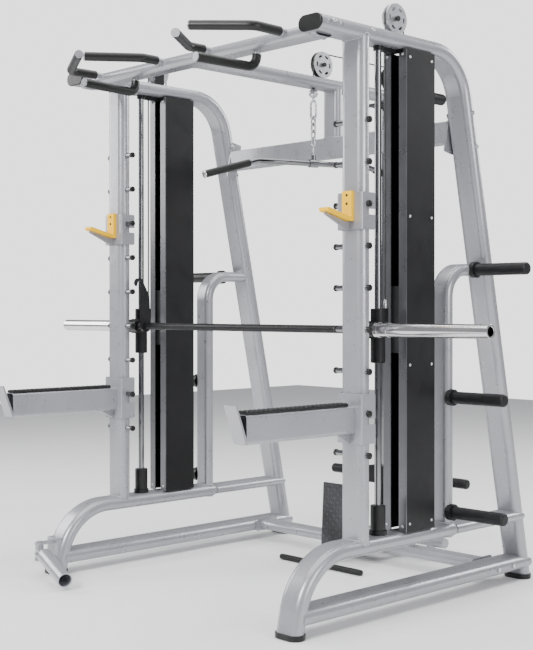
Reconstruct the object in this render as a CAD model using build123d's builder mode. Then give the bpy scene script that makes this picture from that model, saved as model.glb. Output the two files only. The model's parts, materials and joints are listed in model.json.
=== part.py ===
from math import atan2, cos, degrees, hypot, radians, sin, tan
import os

from build123d import *

os.makedirs("parts", exist_ok=True)

# ---------------------------------------------------------------------------------------
# Driving dimensions, in millimetres. X is the width (right side +), Y runs front to back,
# Z is up. The origin is on the floor under the middle of the whole machine.
# ---------------------------------------------------------------------------------------
# overall
frame_half = 715            # middle of the machine to the middle plane of each side frame
top_z = 2116                # centre line of the top tubes
front_foot = 333            # uprights to the front feet
rear_foot = 1005            # uprights to the rear feet
leg_lean = 11.7             # rear legs lean forward, degrees
arch_lean = 12.4            # front legs of the arches lean back, degrees

# tube sections: flat ovals, width along X
tube_w, tube_t, tube_wall = 112, 56, 3
upright_w = 110
base_rail_w = 120
post_w, post_t, post_wall = 92, 46, 2.5
rear_rail_w, rear_rail_t = 118, 38

# side frame
low_rail_z = 268            # centre line of the arches' level run
base_rail_z = 71            # centre line of the floor rails
arch_bend_r = 230
top_bend_r = 190
top_front = 228             # uprights to the front ends of the top tubes
post_back = 495             # uprights to the storage posts
post_arm_z = 1279           # level arm that joins the storage post to the rear leg
post_bend_r = 110
pad_h, pad_margin = 20, 4   # rubber feet

# cross members
beam_front = 165            # uprights to the pull-up beam
beam_z = 2100               # centre line of the pull-up beam and the centre tube
upper_beam_z, upper_beam_h, upper_beam_d, upper_beam_wall = 1830, 90, 50, 3
rear_beam_back = 835        # uprights to the floor cross beam
plate_t = 6                 # bolted end plates
bolt_r, bolt_head_h = 9, 6

# catch pins
pin_pitch, pin_count, pin_low_z = 150, 9, 600
pin_r, pin_in, pin_out = 10, 45, 14

# guide rods and the bar
rod_r, rod_back = 12.5, 120
bumper_r, bumper_h = 28, 108
slider_r, slider_h, slider_drop = 27, 200, 22
bar_r, bar_length = 15, 2500
bar_z, bar_forward = 1048, 35
sleeve_r, sleeve_bore_r = 25, 17
running_gap = 0.08
hook_lift = 24              # the bar hangs this far below its rest height once hooked on
hook_t, hook_reach, hook_rise = 16, 85, 152 + hook_lift
hook_slot_r, hook_rim, hook_finger = 10.6, 10, 4
hook_park = 15              # hooks are turned this far back from the pins at rest, degrees

# counterweight towers
tower_w, tower_d, tower_front, tower_wall = 112, 162, 218, 3
strip_w, strip_t = 36, 4
weight_w, weight_d, weight_h, weight_z = 84, 80, 250, 960

# pulleys and cables
pulley_r, pulley_groove_r, pulley_w = 57, 47, 24
cable_r, cable_lift, cable_gap = 3, 1, 0.7
axle_r = 8
cheek_t, cheek_w = 8, 46
pulley_back, pulley_z = 212, 2202
lat_front_pulley, lat_rear_pulley, lat_pulley_z = 555, 1009, 2184

# storage pegs
peg_r, peg_length = 24, 240
flange_r, flange_t = 32, 14
peg_mid_z, peg_low_z, peg_top_back = 782, 338, 640

# bar cradles (j-hooks) and spotter arms
cradle_t, cradle_gap = 5, 1
cradle_pin, cradle_h, cradle_top = 6, 133, 41
spotter_pin, spotter_h, spotter_top = 1, 180, 72
hang_drop = 28              # how far each bracket lifts before it leaves its pin
pad_w, pad_t, pad_rise, lip_reach, lip_rise = 46, 14, 108, 118, 30
arm_w, arm_h, arm_reach, arm_wall = 56, 100, 552, 3
rubber_w, rubber_t = 50, 12
end_plate_rise, end_plate_lean, end_plate_t = 130, 44, 6

# pull-up handles: base X, bend X, tip X and how far forward, for the three pairs
handle_r, grip_r = 12.5, 17.5
handle_bend_r = 38

# lat station
column_back = 1060
column_rod_half, column_rod_r = 85, 12.5
carriage_z, carriage_w, carriage_h, carriage_d = 349, 290, 80, 76
horn_r, horn_tip, horn_flange_r = 22, 409, 29
foot_cross_half, foot_cross_r = 284, 23
lat_bar_z, lat_bar_r, lat_grip_r = 1752, 12.5, 16
lat_bar_turn = 70.7         # the hanging bar has swivelled this far from the X axis
lat_straight, lat_half, lat_drop = 258, 500, 70
link_r, link_w, link_inner = 4, 28, 30
stop_ball_r = 20

# low row
step_back, step_w, step_h, step_low, step_t, step_tilt = 686, 262, 290, 54, 4, 3
low_wheel_r, low_groove_r = 42, 34
low_wheel_front, low_wheel_z = 741, 80
low_rise_back = 1014        # the low cable climbs here, behind its rear wheel
low_top_x, low_top_z = 28, 1998
low_bar_back, low_bar_r, low_bar_length = 545, 13, 490

# bar socket (landmine) on the left front foot
socket_forward, socket_z = 412, 104
socket_r, socket_bore_r, socket_length = 30, 26, 250
socket_yaw, socket_dip = 14, 12

# ---------------------------------------------------------------------------------------
# Places that follow from the sizes above
# ---------------------------------------------------------------------------------------
front_reach = arm_reach + end_plate_lean + end_plate_t
rear_reach = column_back + carriage_d / 2
upright_y = (front_reach - rear_reach) / 2
cable_pitch_r = pulley_groove_r + cable_r + cable_lift

foot_y = upright_y - front_foot
rear_y = upright_y + rear_foot
post_y = upright_y + post_back
beam_y = upright_y - beam_front
rod_y = upright_y + rod_back
bar_y = rod_y - bar_forward
rear_beam_y = upright_y + rear_beam_back
column_y = upright_y + column_back
tower_y = upright_y + tower_front
pulley_y = upright_y + pulley_back
lat_front_y = upright_y + lat_front_pulley
lat_rear_y = upright_y + lat_rear_pulley
lat_y = lat_front_y - cable_pitch_r
rail_top = low_rail_z + tube_t / 2
tube_under = top_z - tube_t / 2
upright_side = upright_w / 2


def leg_y(z):
    """Y of the rear leg's centre line at height z."""
    return rear_y - z * tan(radians(leg_lean))


def arch_y(z):
    """Y of the front leg's centre line at height z."""
    return foot_y + z * tan(radians(arch_lean))


def pin_z(index):
    """Height of a catch pin, counted up from the lowest."""
    return pin_low_z + index * pin_pitch


def along_y(x, y, z):
    """A plane that faces back, with its X along the machine's X."""
    return Plane(origin=(x, y, z), x_dir=(1, 0, 0), z_dir=(0, 1, 0))


def along_x(x, y, z):
    """A plane that faces right, with its X along the machine's Y."""
    return Plane(origin=(x, y, z), x_dir=(0, 1, 0), z_dir=(1, 0, 0))


def straight_tube(plane, width, thick, length, wall=0):
    """A flat oval tube, or a solid bar where wall is 0."""
    with BuildPart() as tube:
        with BuildSketch(plane):
            SlotOverall(width, thick)
            if wall:
                SlotOverall(width - 2 * wall, thick - 2 * wall, mode=Mode.SUBTRACT)
        extrude(amount=length)
    return tube.part


def bent_tube(x, points, radius, width, thick, wall=0):
    """A flat oval tube bent in a plane of constant X, through (y, z) points."""
    with BuildPart() as tube:
        with BuildLine(Plane.YZ.offset(x)) as route:
            FilletPolyline(*points, radius=radius)
        start = Plane(origin=route.line @ 0, x_dir=(1, 0, 0), z_dir=route.line % 0)
        with BuildSketch(start):
            SlotOverall(width, thick)
            if wall:
                SlotOverall(width - 2 * wall, thick - 2 * wall, mode=Mode.SUBTRACT)
        sweep()
    return tube.part


def round_nose(x, y, z, width, thick):
    """The rounded end of a level rail, a half round in side view."""
    with BuildPart() as nose:
        with BuildSketch(along_y(x, y, z)):
            SlotOverall(width, thick)
        extrude(amount=thick / 2)
        with BuildSketch(Plane.YZ.offset(x)):
            with Locations((y, z)):
                Circle(thick / 2)
        extrude(amount=width, both=True, mode=Mode.INTERSECT)
    return nose.part


def rod(start, end, radius):
    """A round bar between two points."""
    reach = Vector(*end) - Vector(*start)
    with BuildPart() as bar:
        with BuildSketch(Plane(origin=start, z_dir=reach)):
            Circle(radius)
        extrude(amount=reach.length)
    return bar.part


def bent_rod(points, bend_r, radius, bore=0):
    """A round bar or pipe through points, with one bend radius."""
    with BuildPart() as bar:
        with BuildLine() as route:
            FilletPolyline(*points, radius=bend_r)
        with BuildSketch(Plane(origin=route.line @ 0, z_dir=route.line % 0)):
            Circle(radius)
            if bore:
                Circle(bore, mode=Mode.SUBTRACT)
        sweep()
    return bar.part


# ---------------------------------------------------------------------------------------
# Outer forms of the tubes, used to cope the ends that are welded to them
# ---------------------------------------------------------------------------------------
below = -60                 # start of the leaning legs, under the floor, trimmed flat later
arch_points = [(arch_y(below), below), (arch_y(low_rail_z), low_rail_z), (post_y, low_rail_z)]
leg_points = [(upright_y - top_front, top_z), (leg_y(top_z), top_z), (leg_y(below), below)]
post_points = [(post_y, low_rail_z - tube_t / 2), (post_y, post_arm_z),
               (leg_y(post_arm_z), post_arm_z)]
arch_form = bent_tube(frame_half, arch_points, arch_bend_r, tube_w, tube_t)
arch_nose = round_nose(frame_half, post_y, low_rail_z, tube_w, tube_t)
leg_form = bent_tube(frame_half, leg_points, top_bend_r, tube_w, tube_t)
post_form = bent_tube(frame_half, post_points, post_bend_r, post_w, post_t)
top_form_left = mirror(leg_form, about=Plane.YZ)
beam_form = straight_tube(along_x(-frame_half, beam_y, beam_z), post_w, post_t, 2 * frame_half)
rear_rail_y = leg_y(low_rail_z)
base_nose_y = leg_y(base_rail_z)

# ---------------------------------------------------------------------------------------
# Side frames: each piece is made on the right and mirrored to the left
# ---------------------------------------------------------------------------------------
arch_tube = bent_tube(frame_half, arch_points, arch_bend_r, tube_w, tube_t, tube_wall)
with BuildPart() as front_arches:
    add(arch_tube)
    split(bisect_by=Plane.XY.offset(pad_h), keep=Keep.TOP)
    add(arch_nose)
    add(post_form, mode=Mode.SUBTRACT)
    mirror(about=Plane.YZ)
front_arches.part.label = "front_arches"
export_step(front_arches.part, "parts/front_arches.step")

upright_tube = straight_tube(Plane(origin=(frame_half, upright_y, low_rail_z)), upright_w,
                             tube_t, top_z - low_rail_z, tube_wall)
with BuildPart() as uprights:
    add(upright_tube)
    add(arch_form, mode=Mode.SUBTRACT)
    add(leg_form, mode=Mode.SUBTRACT)
    for index in range(pin_count):
        with Locations((frame_half, upright_y, pin_z(index))):
            Cylinder(pin_r, upright_w + 2, rotation=(0, 90, 0), mode=Mode.SUBTRACT)
    mirror(about=Plane.YZ)
uprights.part.label = "uprights"
export_step(uprights.part, "parts/uprights.step")

leg_tube = bent_tube(frame_half, leg_points, top_bend_r, tube_w, tube_t, tube_wall)
cable_hole_r = 9
with BuildPart() as top_rear_tubes:
    add(leg_tube)
    split(bisect_by=Plane.XY.offset(pad_h), keep=Keep.TOP)
    for side in (-1, 1):
        with Locations((frame_half, pulley_y + side * cable_pitch_r, top_z)):
            Cylinder(cable_hole_r, tube_t + 2, mode=Mode.SUBTRACT)
    mirror(about=Plane.YZ)
top_rear_tubes.part.label = "top_rear_tubes"
export_step(top_rear_tubes.part, "parts/top_rear_tubes.step")

base_start = arch_y(base_rail_z)
base_tube = straight_tube(along_y(frame_half, base_start, base_rail_z), base_rail_w, tube_t,
                          base_nose_y - base_start, tube_wall)
base_nose = round_nose(frame_half, base_nose_y, base_rail_z, base_rail_w, tube_t)
with BuildPart() as base_rails:
    add(base_tube)
    add(base_nose)
    add(arch_form, mode=Mode.SUBTRACT)
    add(leg_form, mode=Mode.SUBTRACT)
    mirror(about=Plane.YZ)
base_rails.part.label = "base_rails"
export_step(base_rails.part, "parts/base_rails.step")

rear_tube = straight_tube(along_y(frame_half, post_y, low_rail_z), rear_rail_w, rear_rail_t,
                          rear_rail_y - post_y, post_wall)
rear_nose = round_nose(frame_half, rear_rail_y, low_rail_z, rear_rail_w, rear_rail_t)
with BuildPart() as rear_low_rails:
    add(rear_tube)
    add(rear_nose)
    add(arch_nose, mode=Mode.SUBTRACT)
    add(post_form, mode=Mode.SUBTRACT)
    add(leg_form, mode=Mode.SUBTRACT)
    with Locations((frame_half, post_y, low_rail_z)):
        Box(2 * rear_rail_w, tube_t + 2, 2 * rear_rail_t, mode=Mode.SUBTRACT)
    mirror(about=Plane.YZ)
rear_low_rails.part.label = "rear_low_rails"
export_step(rear_low_rails.part, "parts/rear_low_rails.step")

post_tube = bent_tube(frame_half, post_points, post_bend_r, post_w, post_t, post_wall)
with BuildPart() as storage_posts:
    add(post_tube)
    add(leg_form, mode=Mode.SUBTRACT)
    mirror(about=Plane.YZ)
storage_posts.part.label = "storage_posts"
export_step(storage_posts.part, "parts/storage_posts.step")

# rubber feet under the arches, the rear legs and the lat column
column_foot_x = 200
column_pad_r = 26
with BuildPart() as foot_pads:
    for x in (-frame_half, frame_half):
        for y in (arch_y(pad_h), leg_y(pad_h)):
            with BuildSketch(Plane.XY):
                with Locations((x, y)):
                    SlotOverall(tube_w + 2 * pad_margin, tube_t + 4 * pad_margin)
            extrude(amount=pad_h)
    for x in (-column_foot_x, column_foot_x):
        with BuildSketch(Plane.XY):
            with Locations((x, column_y)):
                Circle(column_pad_r)
        extrude(amount=pad_h)
    chamfer(foot_pads.faces().group_by(Axis.Z)[0].edges(), 3)
foot_pads.part.label = "foot_pads"
export_step(foot_pads.part, "parts/foot_pads.step")

# plastic caps that close the front ends of the top tubes and the back of the centre tube
cap_t = 8
mid_end_y = column_y - 16
with BuildPart() as tube_end_caps:
    for x in (-frame_half, frame_half):
        with BuildSketch(along_y(x, upright_y - top_front, top_z)):
            SlotOverall(tube_w + 2, tube_t + 2)
        extrude(amount=-cap_t)
    with BuildSketch(along_y(0, mid_end_y, beam_z)):
        SlotOverall(post_w, post_t)
    extrude(amount=cap_t)
    fillet(tube_end_caps.edges().filter_by(GeomType.BSPLINE, reverse=True)
           .group_by(Axis.Y)[0], 3)
tube_end_caps.part.label = "tube_end_caps"
export_step(tube_end_caps.part, "parts/tube_end_caps.step")

# ---------------------------------------------------------------------------------------
# Cross members
# ---------------------------------------------------------------------------------------
beam_tube = straight_tube(along_x(-frame_half, beam_y, beam_z), post_w, post_t,
                          2 * frame_half, post_wall)
with BuildPart() as pullup_beam:
    add(beam_tube)
    add(leg_form, mode=Mode.SUBTRACT)
    add(top_form_left, mode=Mode.SUBTRACT)
pullup_beam.part.label = "pullup_beam"
export_step(pullup_beam.part, "parts/pullup_beam.step")

mid_inner = straight_tube(along_y(0, beam_y, beam_z), post_w, post_t, mid_end_y - beam_y,
                          post_wall)
with BuildPart() as mid_tube:
    add(mid_inner)
    add(beam_form, mode=Mode.SUBTRACT)
    with Locations((0, lat_y, beam_z)):
        Cylinder(cable_hole_r, post_t + 2, mode=Mode.SUBTRACT)
mid_tube.part.label = "mid_tube"
export_step(mid_tube.part, "parts/mid_tube.step")

centre_y = leg_y(upper_beam_z)
centre_low = upper_beam_z + upper_beam_h / 2
mid_form = straight_tube(along_y(0, beam_y, beam_z), post_w, post_t, mid_end_y - beam_y)
centre_tube = straight_tube(Plane(origin=(0, centre_y, centre_low)), post_w - 2, post_t,
                            beam_z - centre_low, post_wall)
with BuildPart() as centre_post:
    add(centre_tube)
    add(mid_form, mode=Mode.SUBTRACT)
centre_post.part.label = "centre_post"
export_step(centre_post.part, "parts/centre_post.step")

# the upper rear beam is a rectangular tube with a long bolted plate at each end
upper_end = frame_half - tube_w / 2 - plate_t
plate_h, plate_w = 170, 58
with BuildPart() as upper_rear_beam:
    with BuildSketch(along_x(-upper_end, centre_y, upper_beam_z)):
        RectangleRounded(upper_beam_d, upper_beam_h, 5)
        RectangleRounded(upper_beam_d - 2 * upper_beam_wall, upper_beam_h - 2 * upper_beam_wall,
                         2.5, mode=Mode.SUBTRACT)
    extrude(amount=2 * upper_end)
    for x in (-upper_end - plate_t, upper_end):
        with BuildSketch(along_x(x, centre_y, upper_beam_z)):
            with Locations(Location((0, 0), -leg_lean + 180)):
                RectangleRounded(plate_w, plate_h, 8)
        extrude(amount=plate_t)
upper_rear_beam.part.label = "upper_rear_beam"
export_step(upper_rear_beam.part, "parts/upper_rear_beam.step")

# the floor beam is a flat oval with a plate at each end, bolted through the base rails
rear_beam_end = frame_half - base_rail_w / 2 - plate_t
rear_beam_tube = straight_tube(along_x(-rear_beam_end, rear_beam_y, base_rail_z), post_w,
                               post_t, 2 * rear_beam_end, post_wall)
with BuildPart() as rear_base_beam:
    add(rear_beam_tube)
    for x in (-rear_beam_end - plate_t, rear_beam_end):
        with BuildSketch(along_x(x, rear_beam_y, base_rail_z)):
            RectangleRounded(post_w + 40, tube_t, 8)
        extrude(amount=plate_t)
rear_base_beam.part.label = "rear_base_beam"
export_step(rear_base_beam.part, "parts/rear_base_beam.step")

# hexagon heads: through the rear legs, the top tubes and the base rails
bolt_spots = []
for z in (upper_beam_z + 65, upper_beam_z - 65):
    bolt_spots.append((frame_half + tube_w / 2, leg_y(z), z))
for y in (beam_y - 30, beam_y + 30):
    bolt_spots.append((frame_half + tube_w / 2, y, top_z))
for y in (rear_beam_y - 50, rear_beam_y + 50):
    bolt_spots.append((frame_half + base_rail_w / 2, y, base_rail_z))
with BuildPart() as frame_bolts:
    for x, y, z in bolt_spots:
        with BuildSketch(along_x(x, y, z)):
            RegularPolygon(bolt_r, 6)
        extrude(amount=bolt_head_h)
    mirror(about=Plane.YZ)
frame_bolts.part.label = "frame_bolts"
export_step(frame_bolts.part, "parts/frame_bolts.step")

# ---------------------------------------------------------------------------------------
# Pull-up handles: three mirrored pairs of bent round bars with rubber grips
# ---------------------------------------------------------------------------------------
handle_z = beam_z + 10
outer_handle = [(560, beam_y, handle_z), (565, upright_y - 355, handle_z),
                (340, upright_y - 465, handle_z + 20)]
inner_handle = [(146, beam_y, handle_z), (143, upright_y - 303, handle_z),
                (285, upright_y - 482, handle_z)]
lower_handle = [(375, beam_y, beam_z), (368, beam_y - 6, beam_z - 82),
                (345, upright_y - 440, beam_z - 78)]
handle_routes = [outer_handle, inner_handle, lower_handle]
plug_t = 5


grip_start = post_w / 2 + 22


def grip_route(route):
    """The stretch of a handle that its rubber covers: from near the beam to the end plug."""
    base, corner, tip = [Vector(*point) for point in route]
    first = (corner - base).normalized()
    last = (tip - corner).normalized()
    start = base + first * (grip_start if abs(first.Z) < 0.5 else grip_start / 2)
    return [tuple(point) for point in (start, corner, tip - last * plug_t)]


handle_parts = [bent_rod(route, handle_bend_r, handle_r) for route in handle_routes]
with BuildPart() as pullup_handles:
    for handle in handle_parts:
        add(handle)
    for route in handle_routes:
        tip = Vector(*route[2])
        heading = (tip - Vector(*route[1])).normalized()
        with BuildSketch(Plane(origin=tip - heading * plug_t, z_dir=heading)):
            Circle(grip_r - 1)
        extrude(amount=plug_t)
    add(beam_form, mode=Mode.SUBTRACT)
    mirror(about=Plane.YZ)
pullup_handles.part.label = "pullup_handles"
export_step(pullup_handles.part, "parts/pullup_handles.step")

with BuildPart() as pullup_grips:
    for route in handle_routes:
        add(bent_rod(grip_route(route), handle_bend_r, grip_r, handle_r))
    mirror(about=Plane.YZ)
pullup_grips.part.label = "pullup_grips"
export_step(pullup_grips.part, "parts/pullup_grips.step")

# ---------------------------------------------------------------------------------------
# Catch pins through the uprights
# ---------------------------------------------------------------------------------------
with BuildPart() as catch_pins:
    for index in range(pin_count):
        with BuildSketch(along_x(frame_half - upright_side - pin_in, upright_y, pin_z(index))):
            Circle(pin_r)
        extrude(amount=upright_w + pin_in + pin_out)
    chamfer(catch_pins.edges().filter_by(GeomType.CIRCLE), 1.5)
    mirror(about=Plane.YZ)
catch_pins.part.label = "catch_pins"
export_step(catch_pins.part, "parts/catch_pins.step")

# ---------------------------------------------------------------------------------------
# Guide rods, bumpers and clamps
# ---------------------------------------------------------------------------------------
column_rod_low = base_rail_z + foot_cross_r
column_plate_t = 10
column_rod_top = beam_z - post_t / 2 - column_plate_t
carriage_low = carriage_z - carriage_h / 2
with BuildPart() as guide_rods:
    for x in (-frame_half, frame_half):
        with Locations((x, rod_y, (rail_top + tube_under) / 2)):
            Cylinder(rod_r, tube_under - rail_top)
    for x in (-column_rod_half, column_rod_half):
        with Locations((x, column_y, (column_rod_low + column_rod_top) / 2)):
            Cylinder(column_rod_r, column_rod_top - column_rod_low)
guide_rods.part.label = "guide_rods"
export_step(guide_rods.part, "parts/guide_rods.step")

with BuildPart() as rod_bumpers:
    for x in (-frame_half, frame_half):
        with BuildSketch(Plane.XY.offset(rail_top)):
            with Locations((x, rod_y)):
                Circle(bumper_r)
                Circle(rod_r, mode=Mode.SUBTRACT)
        extrude(amount=bumper_h)
    for x in (-column_rod_half, column_rod_half):
        with BuildSketch(Plane.XY.offset(column_rod_low)):
            with Locations((x, column_y)):
                Circle(bumper_r)
                Circle(column_rod_r, mode=Mode.SUBTRACT)
        extrude(amount=carriage_low - column_rod_low)
    fillet(rod_bumpers.edges().filter_by(GeomType.CIRCLE)
           .filter_by(lambda edge: edge.radius > bumper_r - 1), 3)
rod_bumpers.part.label = "rod_bumpers"
export_step(rod_bumpers.part, "parts/rod_bumpers.step")

# black clamps: one ties each rod back to its tower under the top tube, one rings its bumper
clamp_ring, clamp_h, clamp_w = 6, 16, 22
strip_y = tower_y - strip_t
with BuildPart() as rod_clamps:
    with BuildSketch(Plane.XY.offset(tube_under - clamp_h)):
        with Locations((frame_half, rod_y)):
            Circle(rod_r + clamp_ring)
        with Locations((frame_half, (rod_y + strip_y) / 2)):
            Rectangle(clamp_w, strip_y - rod_y)
        with Locations((frame_half, strip_y - 2)):
            Rectangle(tower_w - 30, 4)
        with Locations((frame_half, rod_y)):
            Circle(rod_r, mode=Mode.SUBTRACT)
        with Locations((frame_half, pulley_y - cable_pitch_r)):
            Circle(cable_hole_r - 2, mode=Mode.SUBTRACT)
    extrude(amount=clamp_h)
    with BuildSketch(Plane.XY.offset(rail_top)):
        with Locations((frame_half, rod_y)):
            Circle(bumper_r + clamp_ring - 1)
            Circle(bumper_r, mode=Mode.SUBTRACT)
    extrude(amount=clamp_h)
    mirror(about=Plane.YZ)
    with BuildSketch(Plane.XY.offset(column_rod_top)):
        with Locations((0, column_y - 30)):
            RectangleRounded(2 * column_rod_half + 60, 130, 12)
        with Locations((0, column_y)):
            Circle(cable_hole_r, mode=Mode.SUBTRACT)
    extrude(amount=column_plate_t)
rod_clamps.part.label = "rod_clamps"
export_step(rod_clamps.part, "parts/rod_clamps.step")

# ---------------------------------------------------------------------------------------
# Counterweight towers
# ---------------------------------------------------------------------------------------
tower_low, tower_top = rail_top, tube_under
with BuildPart() as counterweight_shrouds:
    with BuildSketch(Plane.XY.offset(tower_low)):
        with Locations((frame_half, tower_y + tower_d / 2)):
            Rectangle(tower_w, tower_d)
        with Locations((frame_half, tower_y + (tower_d - tower_wall) / 2)):
            Rectangle(tower_w - 2 * tower_wall, tower_d - tower_wall, mode=Mode.SUBTRACT)
    extrude(amount=tower_top - tower_low)
    mirror(about=Plane.YZ)
counterweight_shrouds.part.label = "counterweight_shrouds"
export_step(counterweight_shrouds.part, "parts/counterweight_shrouds.step")

with BuildPart() as shroud_strips:
    for side in (-1, 1):
        with BuildSketch(Plane.XY.offset(tower_low)):
            with Locations((frame_half + side * (tower_w - strip_w) / 2, tower_y - strip_t / 2)):
                Rectangle(strip_w, strip_t)
        extrude(amount=tower_top - tower_low)
    mirror(about=Plane.YZ)
shroud_strips.part.label = "shroud_strips"
export_step(shroud_strips.part, "parts/shroud_strips.step")

# a steel block hangs in each tower from an eye under its cable
weight_y = pulley_y + cable_pitch_r
weight_top = weight_z + weight_h
eye_h = 30
with BuildPart() as counterweights:
    with Locations((frame_half, weight_y + 6, weight_z + weight_h / 2)):
        Box(weight_w, weight_d, weight_h)
    fillet(counterweights.edges().filter_by(Axis.Z), 6)
    with Locations((frame_half, weight_y, weight_top + eye_h / 2)):
        Cylinder(9, eye_h)
    mirror(about=Plane.YZ)
counterweights.part.label = "counterweights"
export_step(counterweights.part, "parts/counterweights.step")

# ---------------------------------------------------------------------------------------
# Pulleys: grooved wheels with six slots near the rim
# ---------------------------------------------------------------------------------------
slot_count, slot_wall = 6, 4


def wheel(rim_r, groove_r, slot_w):
    """A grooved wheel on the X axis, with slots that follow its rim."""
    slot_at = groove_r - slot_wall - slot_w / 2
    with BuildPart() as turned_wheel:
        with BuildSketch(Plane.XY):
            with BuildLine():
                Polyline((-pulley_w / 2, 0), (-pulley_w / 2, rim_r),
                         (-pulley_w / 2 + 4, rim_r), (-cable_r, groove_r),
                         (cable_r, groove_r), (pulley_w / 2 - 4, rim_r),
                         (pulley_w / 2, rim_r), (pulley_w / 2, 0), close=True)
            make_face()
        revolve(axis=Axis.X)
        with BuildSketch(Plane.YZ):
            Circle(axle_r + running_gap)
            with PolarLocations(slot_at, slot_count):
                SlotOverall(2.4 * slot_w, slot_w, rotation=90)
        extrude(amount=pulley_w, both=True, mode=Mode.SUBTRACT)
    return turned_wheel.part


cable_wheel = wheel(pulley_r, pulley_groove_r, 9)
low_cable_wheel = wheel(low_wheel_r, low_groove_r, 6)
low_pitch_r = low_groove_r + cable_r + cable_lift
low_front_y = upright_y + low_wheel_front
low_rise_y = upright_y + low_rise_back
low_rear_y = low_rise_y - low_pitch_r
low_top_y = low_rise_y + low_pitch_r
low_drop_y = low_top_y + low_pitch_r
low_run_z = low_wheel_z - low_pitch_r

with BuildPart() as counterweight_pulleys:
    with Locations((frame_half, pulley_y, pulley_z), (-frame_half, pulley_y, pulley_z)):
        add(cable_wheel)
counterweight_pulleys.part.label = "counterweight_pulleys"
export_step(counterweight_pulleys.part, "parts/counterweight_pulleys.step")

with BuildPart() as lat_pulley_front:
    with Locations((0, lat_front_y, lat_pulley_z)):
        add(cable_wheel)
lat_pulley_front.part.label = "lat_pulley_front"
export_step(lat_pulley_front.part, "parts/lat_pulley_front.step")

with BuildPart() as lat_pulley_rear:
    with Locations((0, lat_rear_y, lat_pulley_z)):
        add(cable_wheel)
lat_pulley_rear.part.label = "lat_pulley_rear"
export_step(lat_pulley_rear.part, "parts/lat_pulley_rear.step")

with BuildPart() as low_pulley_front:
    with Locations((0, low_front_y, low_wheel_z)):
        add(low_cable_wheel)
low_pulley_front.part.label = "low_pulley_front"
export_step(low_pulley_front.part, "parts/low_pulley_front.step")

with BuildPart() as low_pulley_rear:
    with Locations((0, low_rear_y, low_wheel_z)):
        add(low_cable_wheel)
low_pulley_rear.part.label = "low_pulley_rear"
export_step(low_pulley_rear.part, "parts/low_pulley_rear.step")

with BuildPart() as low_pulley_top:
    with Locations((low_top_x, low_top_y, low_top_z)):
        add(low_cable_wheel)
low_pulley_top.part.label = "low_pulley_top"
export_step(low_pulley_top.part, "parts/low_pulley_top.step")

# one black cheek with a stub axle carries each wheel from its inner side
cheek_gap = 2


def cheek(x, y, z, seat_z, side):
    """Cheek plate from a seat up to its axle; side is the way the wheel lies from it."""
    face = x - side * (pulley_w / 2 + cheek_gap + cheek_t)
    with BuildPart() as plate:
        with BuildSketch(along_x(face, y, z)):
            Circle(cheek_w / 2)
            with Locations((0, (seat_z - z) / 2)):
                Rectangle(cheek_w, abs(z - seat_z))
        extrude(amount=side * cheek_t)
        with BuildSketch(along_x(face, y, z)):
            Circle(axle_r)
        extrude(amount=side * (cheek_t + cheek_gap + pulley_w + 3))
        with BuildSketch(along_x(face + side * (cheek_t + cheek_gap + pulley_w + 3), y, z)):
            RegularPolygon(10, 6)
        extrude(amount=side * 7)
    return plate.part


tube_top = top_z + tube_t / 2
mid_top = beam_z + post_t / 2
beam_face = rear_beam_y - post_w / 2
cheeks = [cheek(frame_half, pulley_y, pulley_z, tube_top, 1),
          cheek(-frame_half, pulley_y, pulley_z, tube_top, -1),
          cheek(0, lat_front_y, lat_pulley_z, mid_top, 1),
          cheek(0, lat_rear_y, lat_pulley_z, mid_top, 1),
          cheek(low_top_x, low_top_y, low_top_z, column_rod_top, 1)]
low_cheek_x = -(pulley_w / 2 + cheek_gap + cheek_t)
foot_side_x, foot_side_w, foot_side_h = column_rod_half, 50, 40
with BuildPart() as pulley_brackets:
    for piece in cheeks:
        add(piece)
    with BuildSketch(along_x(low_cheek_x, low_front_y, low_wheel_z)):
        Circle(cheek_w / 2)
        with Locations(((beam_face - low_front_y) / 2, -9)):
            Rectangle(beam_face - low_front_y, 28)
    extrude(amount=cheek_t)
    with BuildSketch(along_x(low_cheek_x, low_front_y, low_wheel_z)):
        Circle(axle_r)
    extrude(amount=cheek_t + cheek_gap + pulley_w + 3)
    with BuildSketch(along_x(-low_cheek_x - cheek_t + 1, low_front_y, low_wheel_z)):
        RegularPolygon(10, 6)
    extrude(amount=7)
    axle_half = foot_side_x - foot_side_w / 2
    with Locations((0, low_rear_y, low_wheel_z)):
        Cylinder(axle_r, 2 * axle_half, rotation=(0, 90, 0))
    for side in (-1, 1):
        collar = side * (pulley_w / 2 + cheek_gap + 10)
        with Locations((collar, low_rear_y, low_wheel_z)):
            Cylinder(13, 20, rotation=(0, 90, 0))
pulley_brackets.part.label = "pulley_brackets"
export_step(pulley_brackets.part, "parts/pulley_brackets.step")

# ---------------------------------------------------------------------------------------
# Cables. The runs over the wheels stay put; the runs that hang grow and shrink.
# ---------------------------------------------------------------------------------------
slider_z = bar_z - slider_drop
slider_top = slider_z + slider_h / 2
front_run_y = pulley_y - cable_pitch_r
rear_run_y = pulley_y + cable_pitch_r
lat_rear_run_y = lat_rear_y + cable_pitch_r
lat_crown = lat_pulley_z + cable_pitch_r


def half_wrap(x):
    """Cable over the top of a counterweight pulley."""
    with BuildPart() as loop:
        with BuildLine(Plane.YZ.offset(x)):
            CenterArc((pulley_y, pulley_z), cable_pitch_r, 0, 180)
        with BuildSketch(Plane(origin=(x, rear_run_y, pulley_z))):
            Circle(cable_r)
        sweep()
    return loop.part


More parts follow.
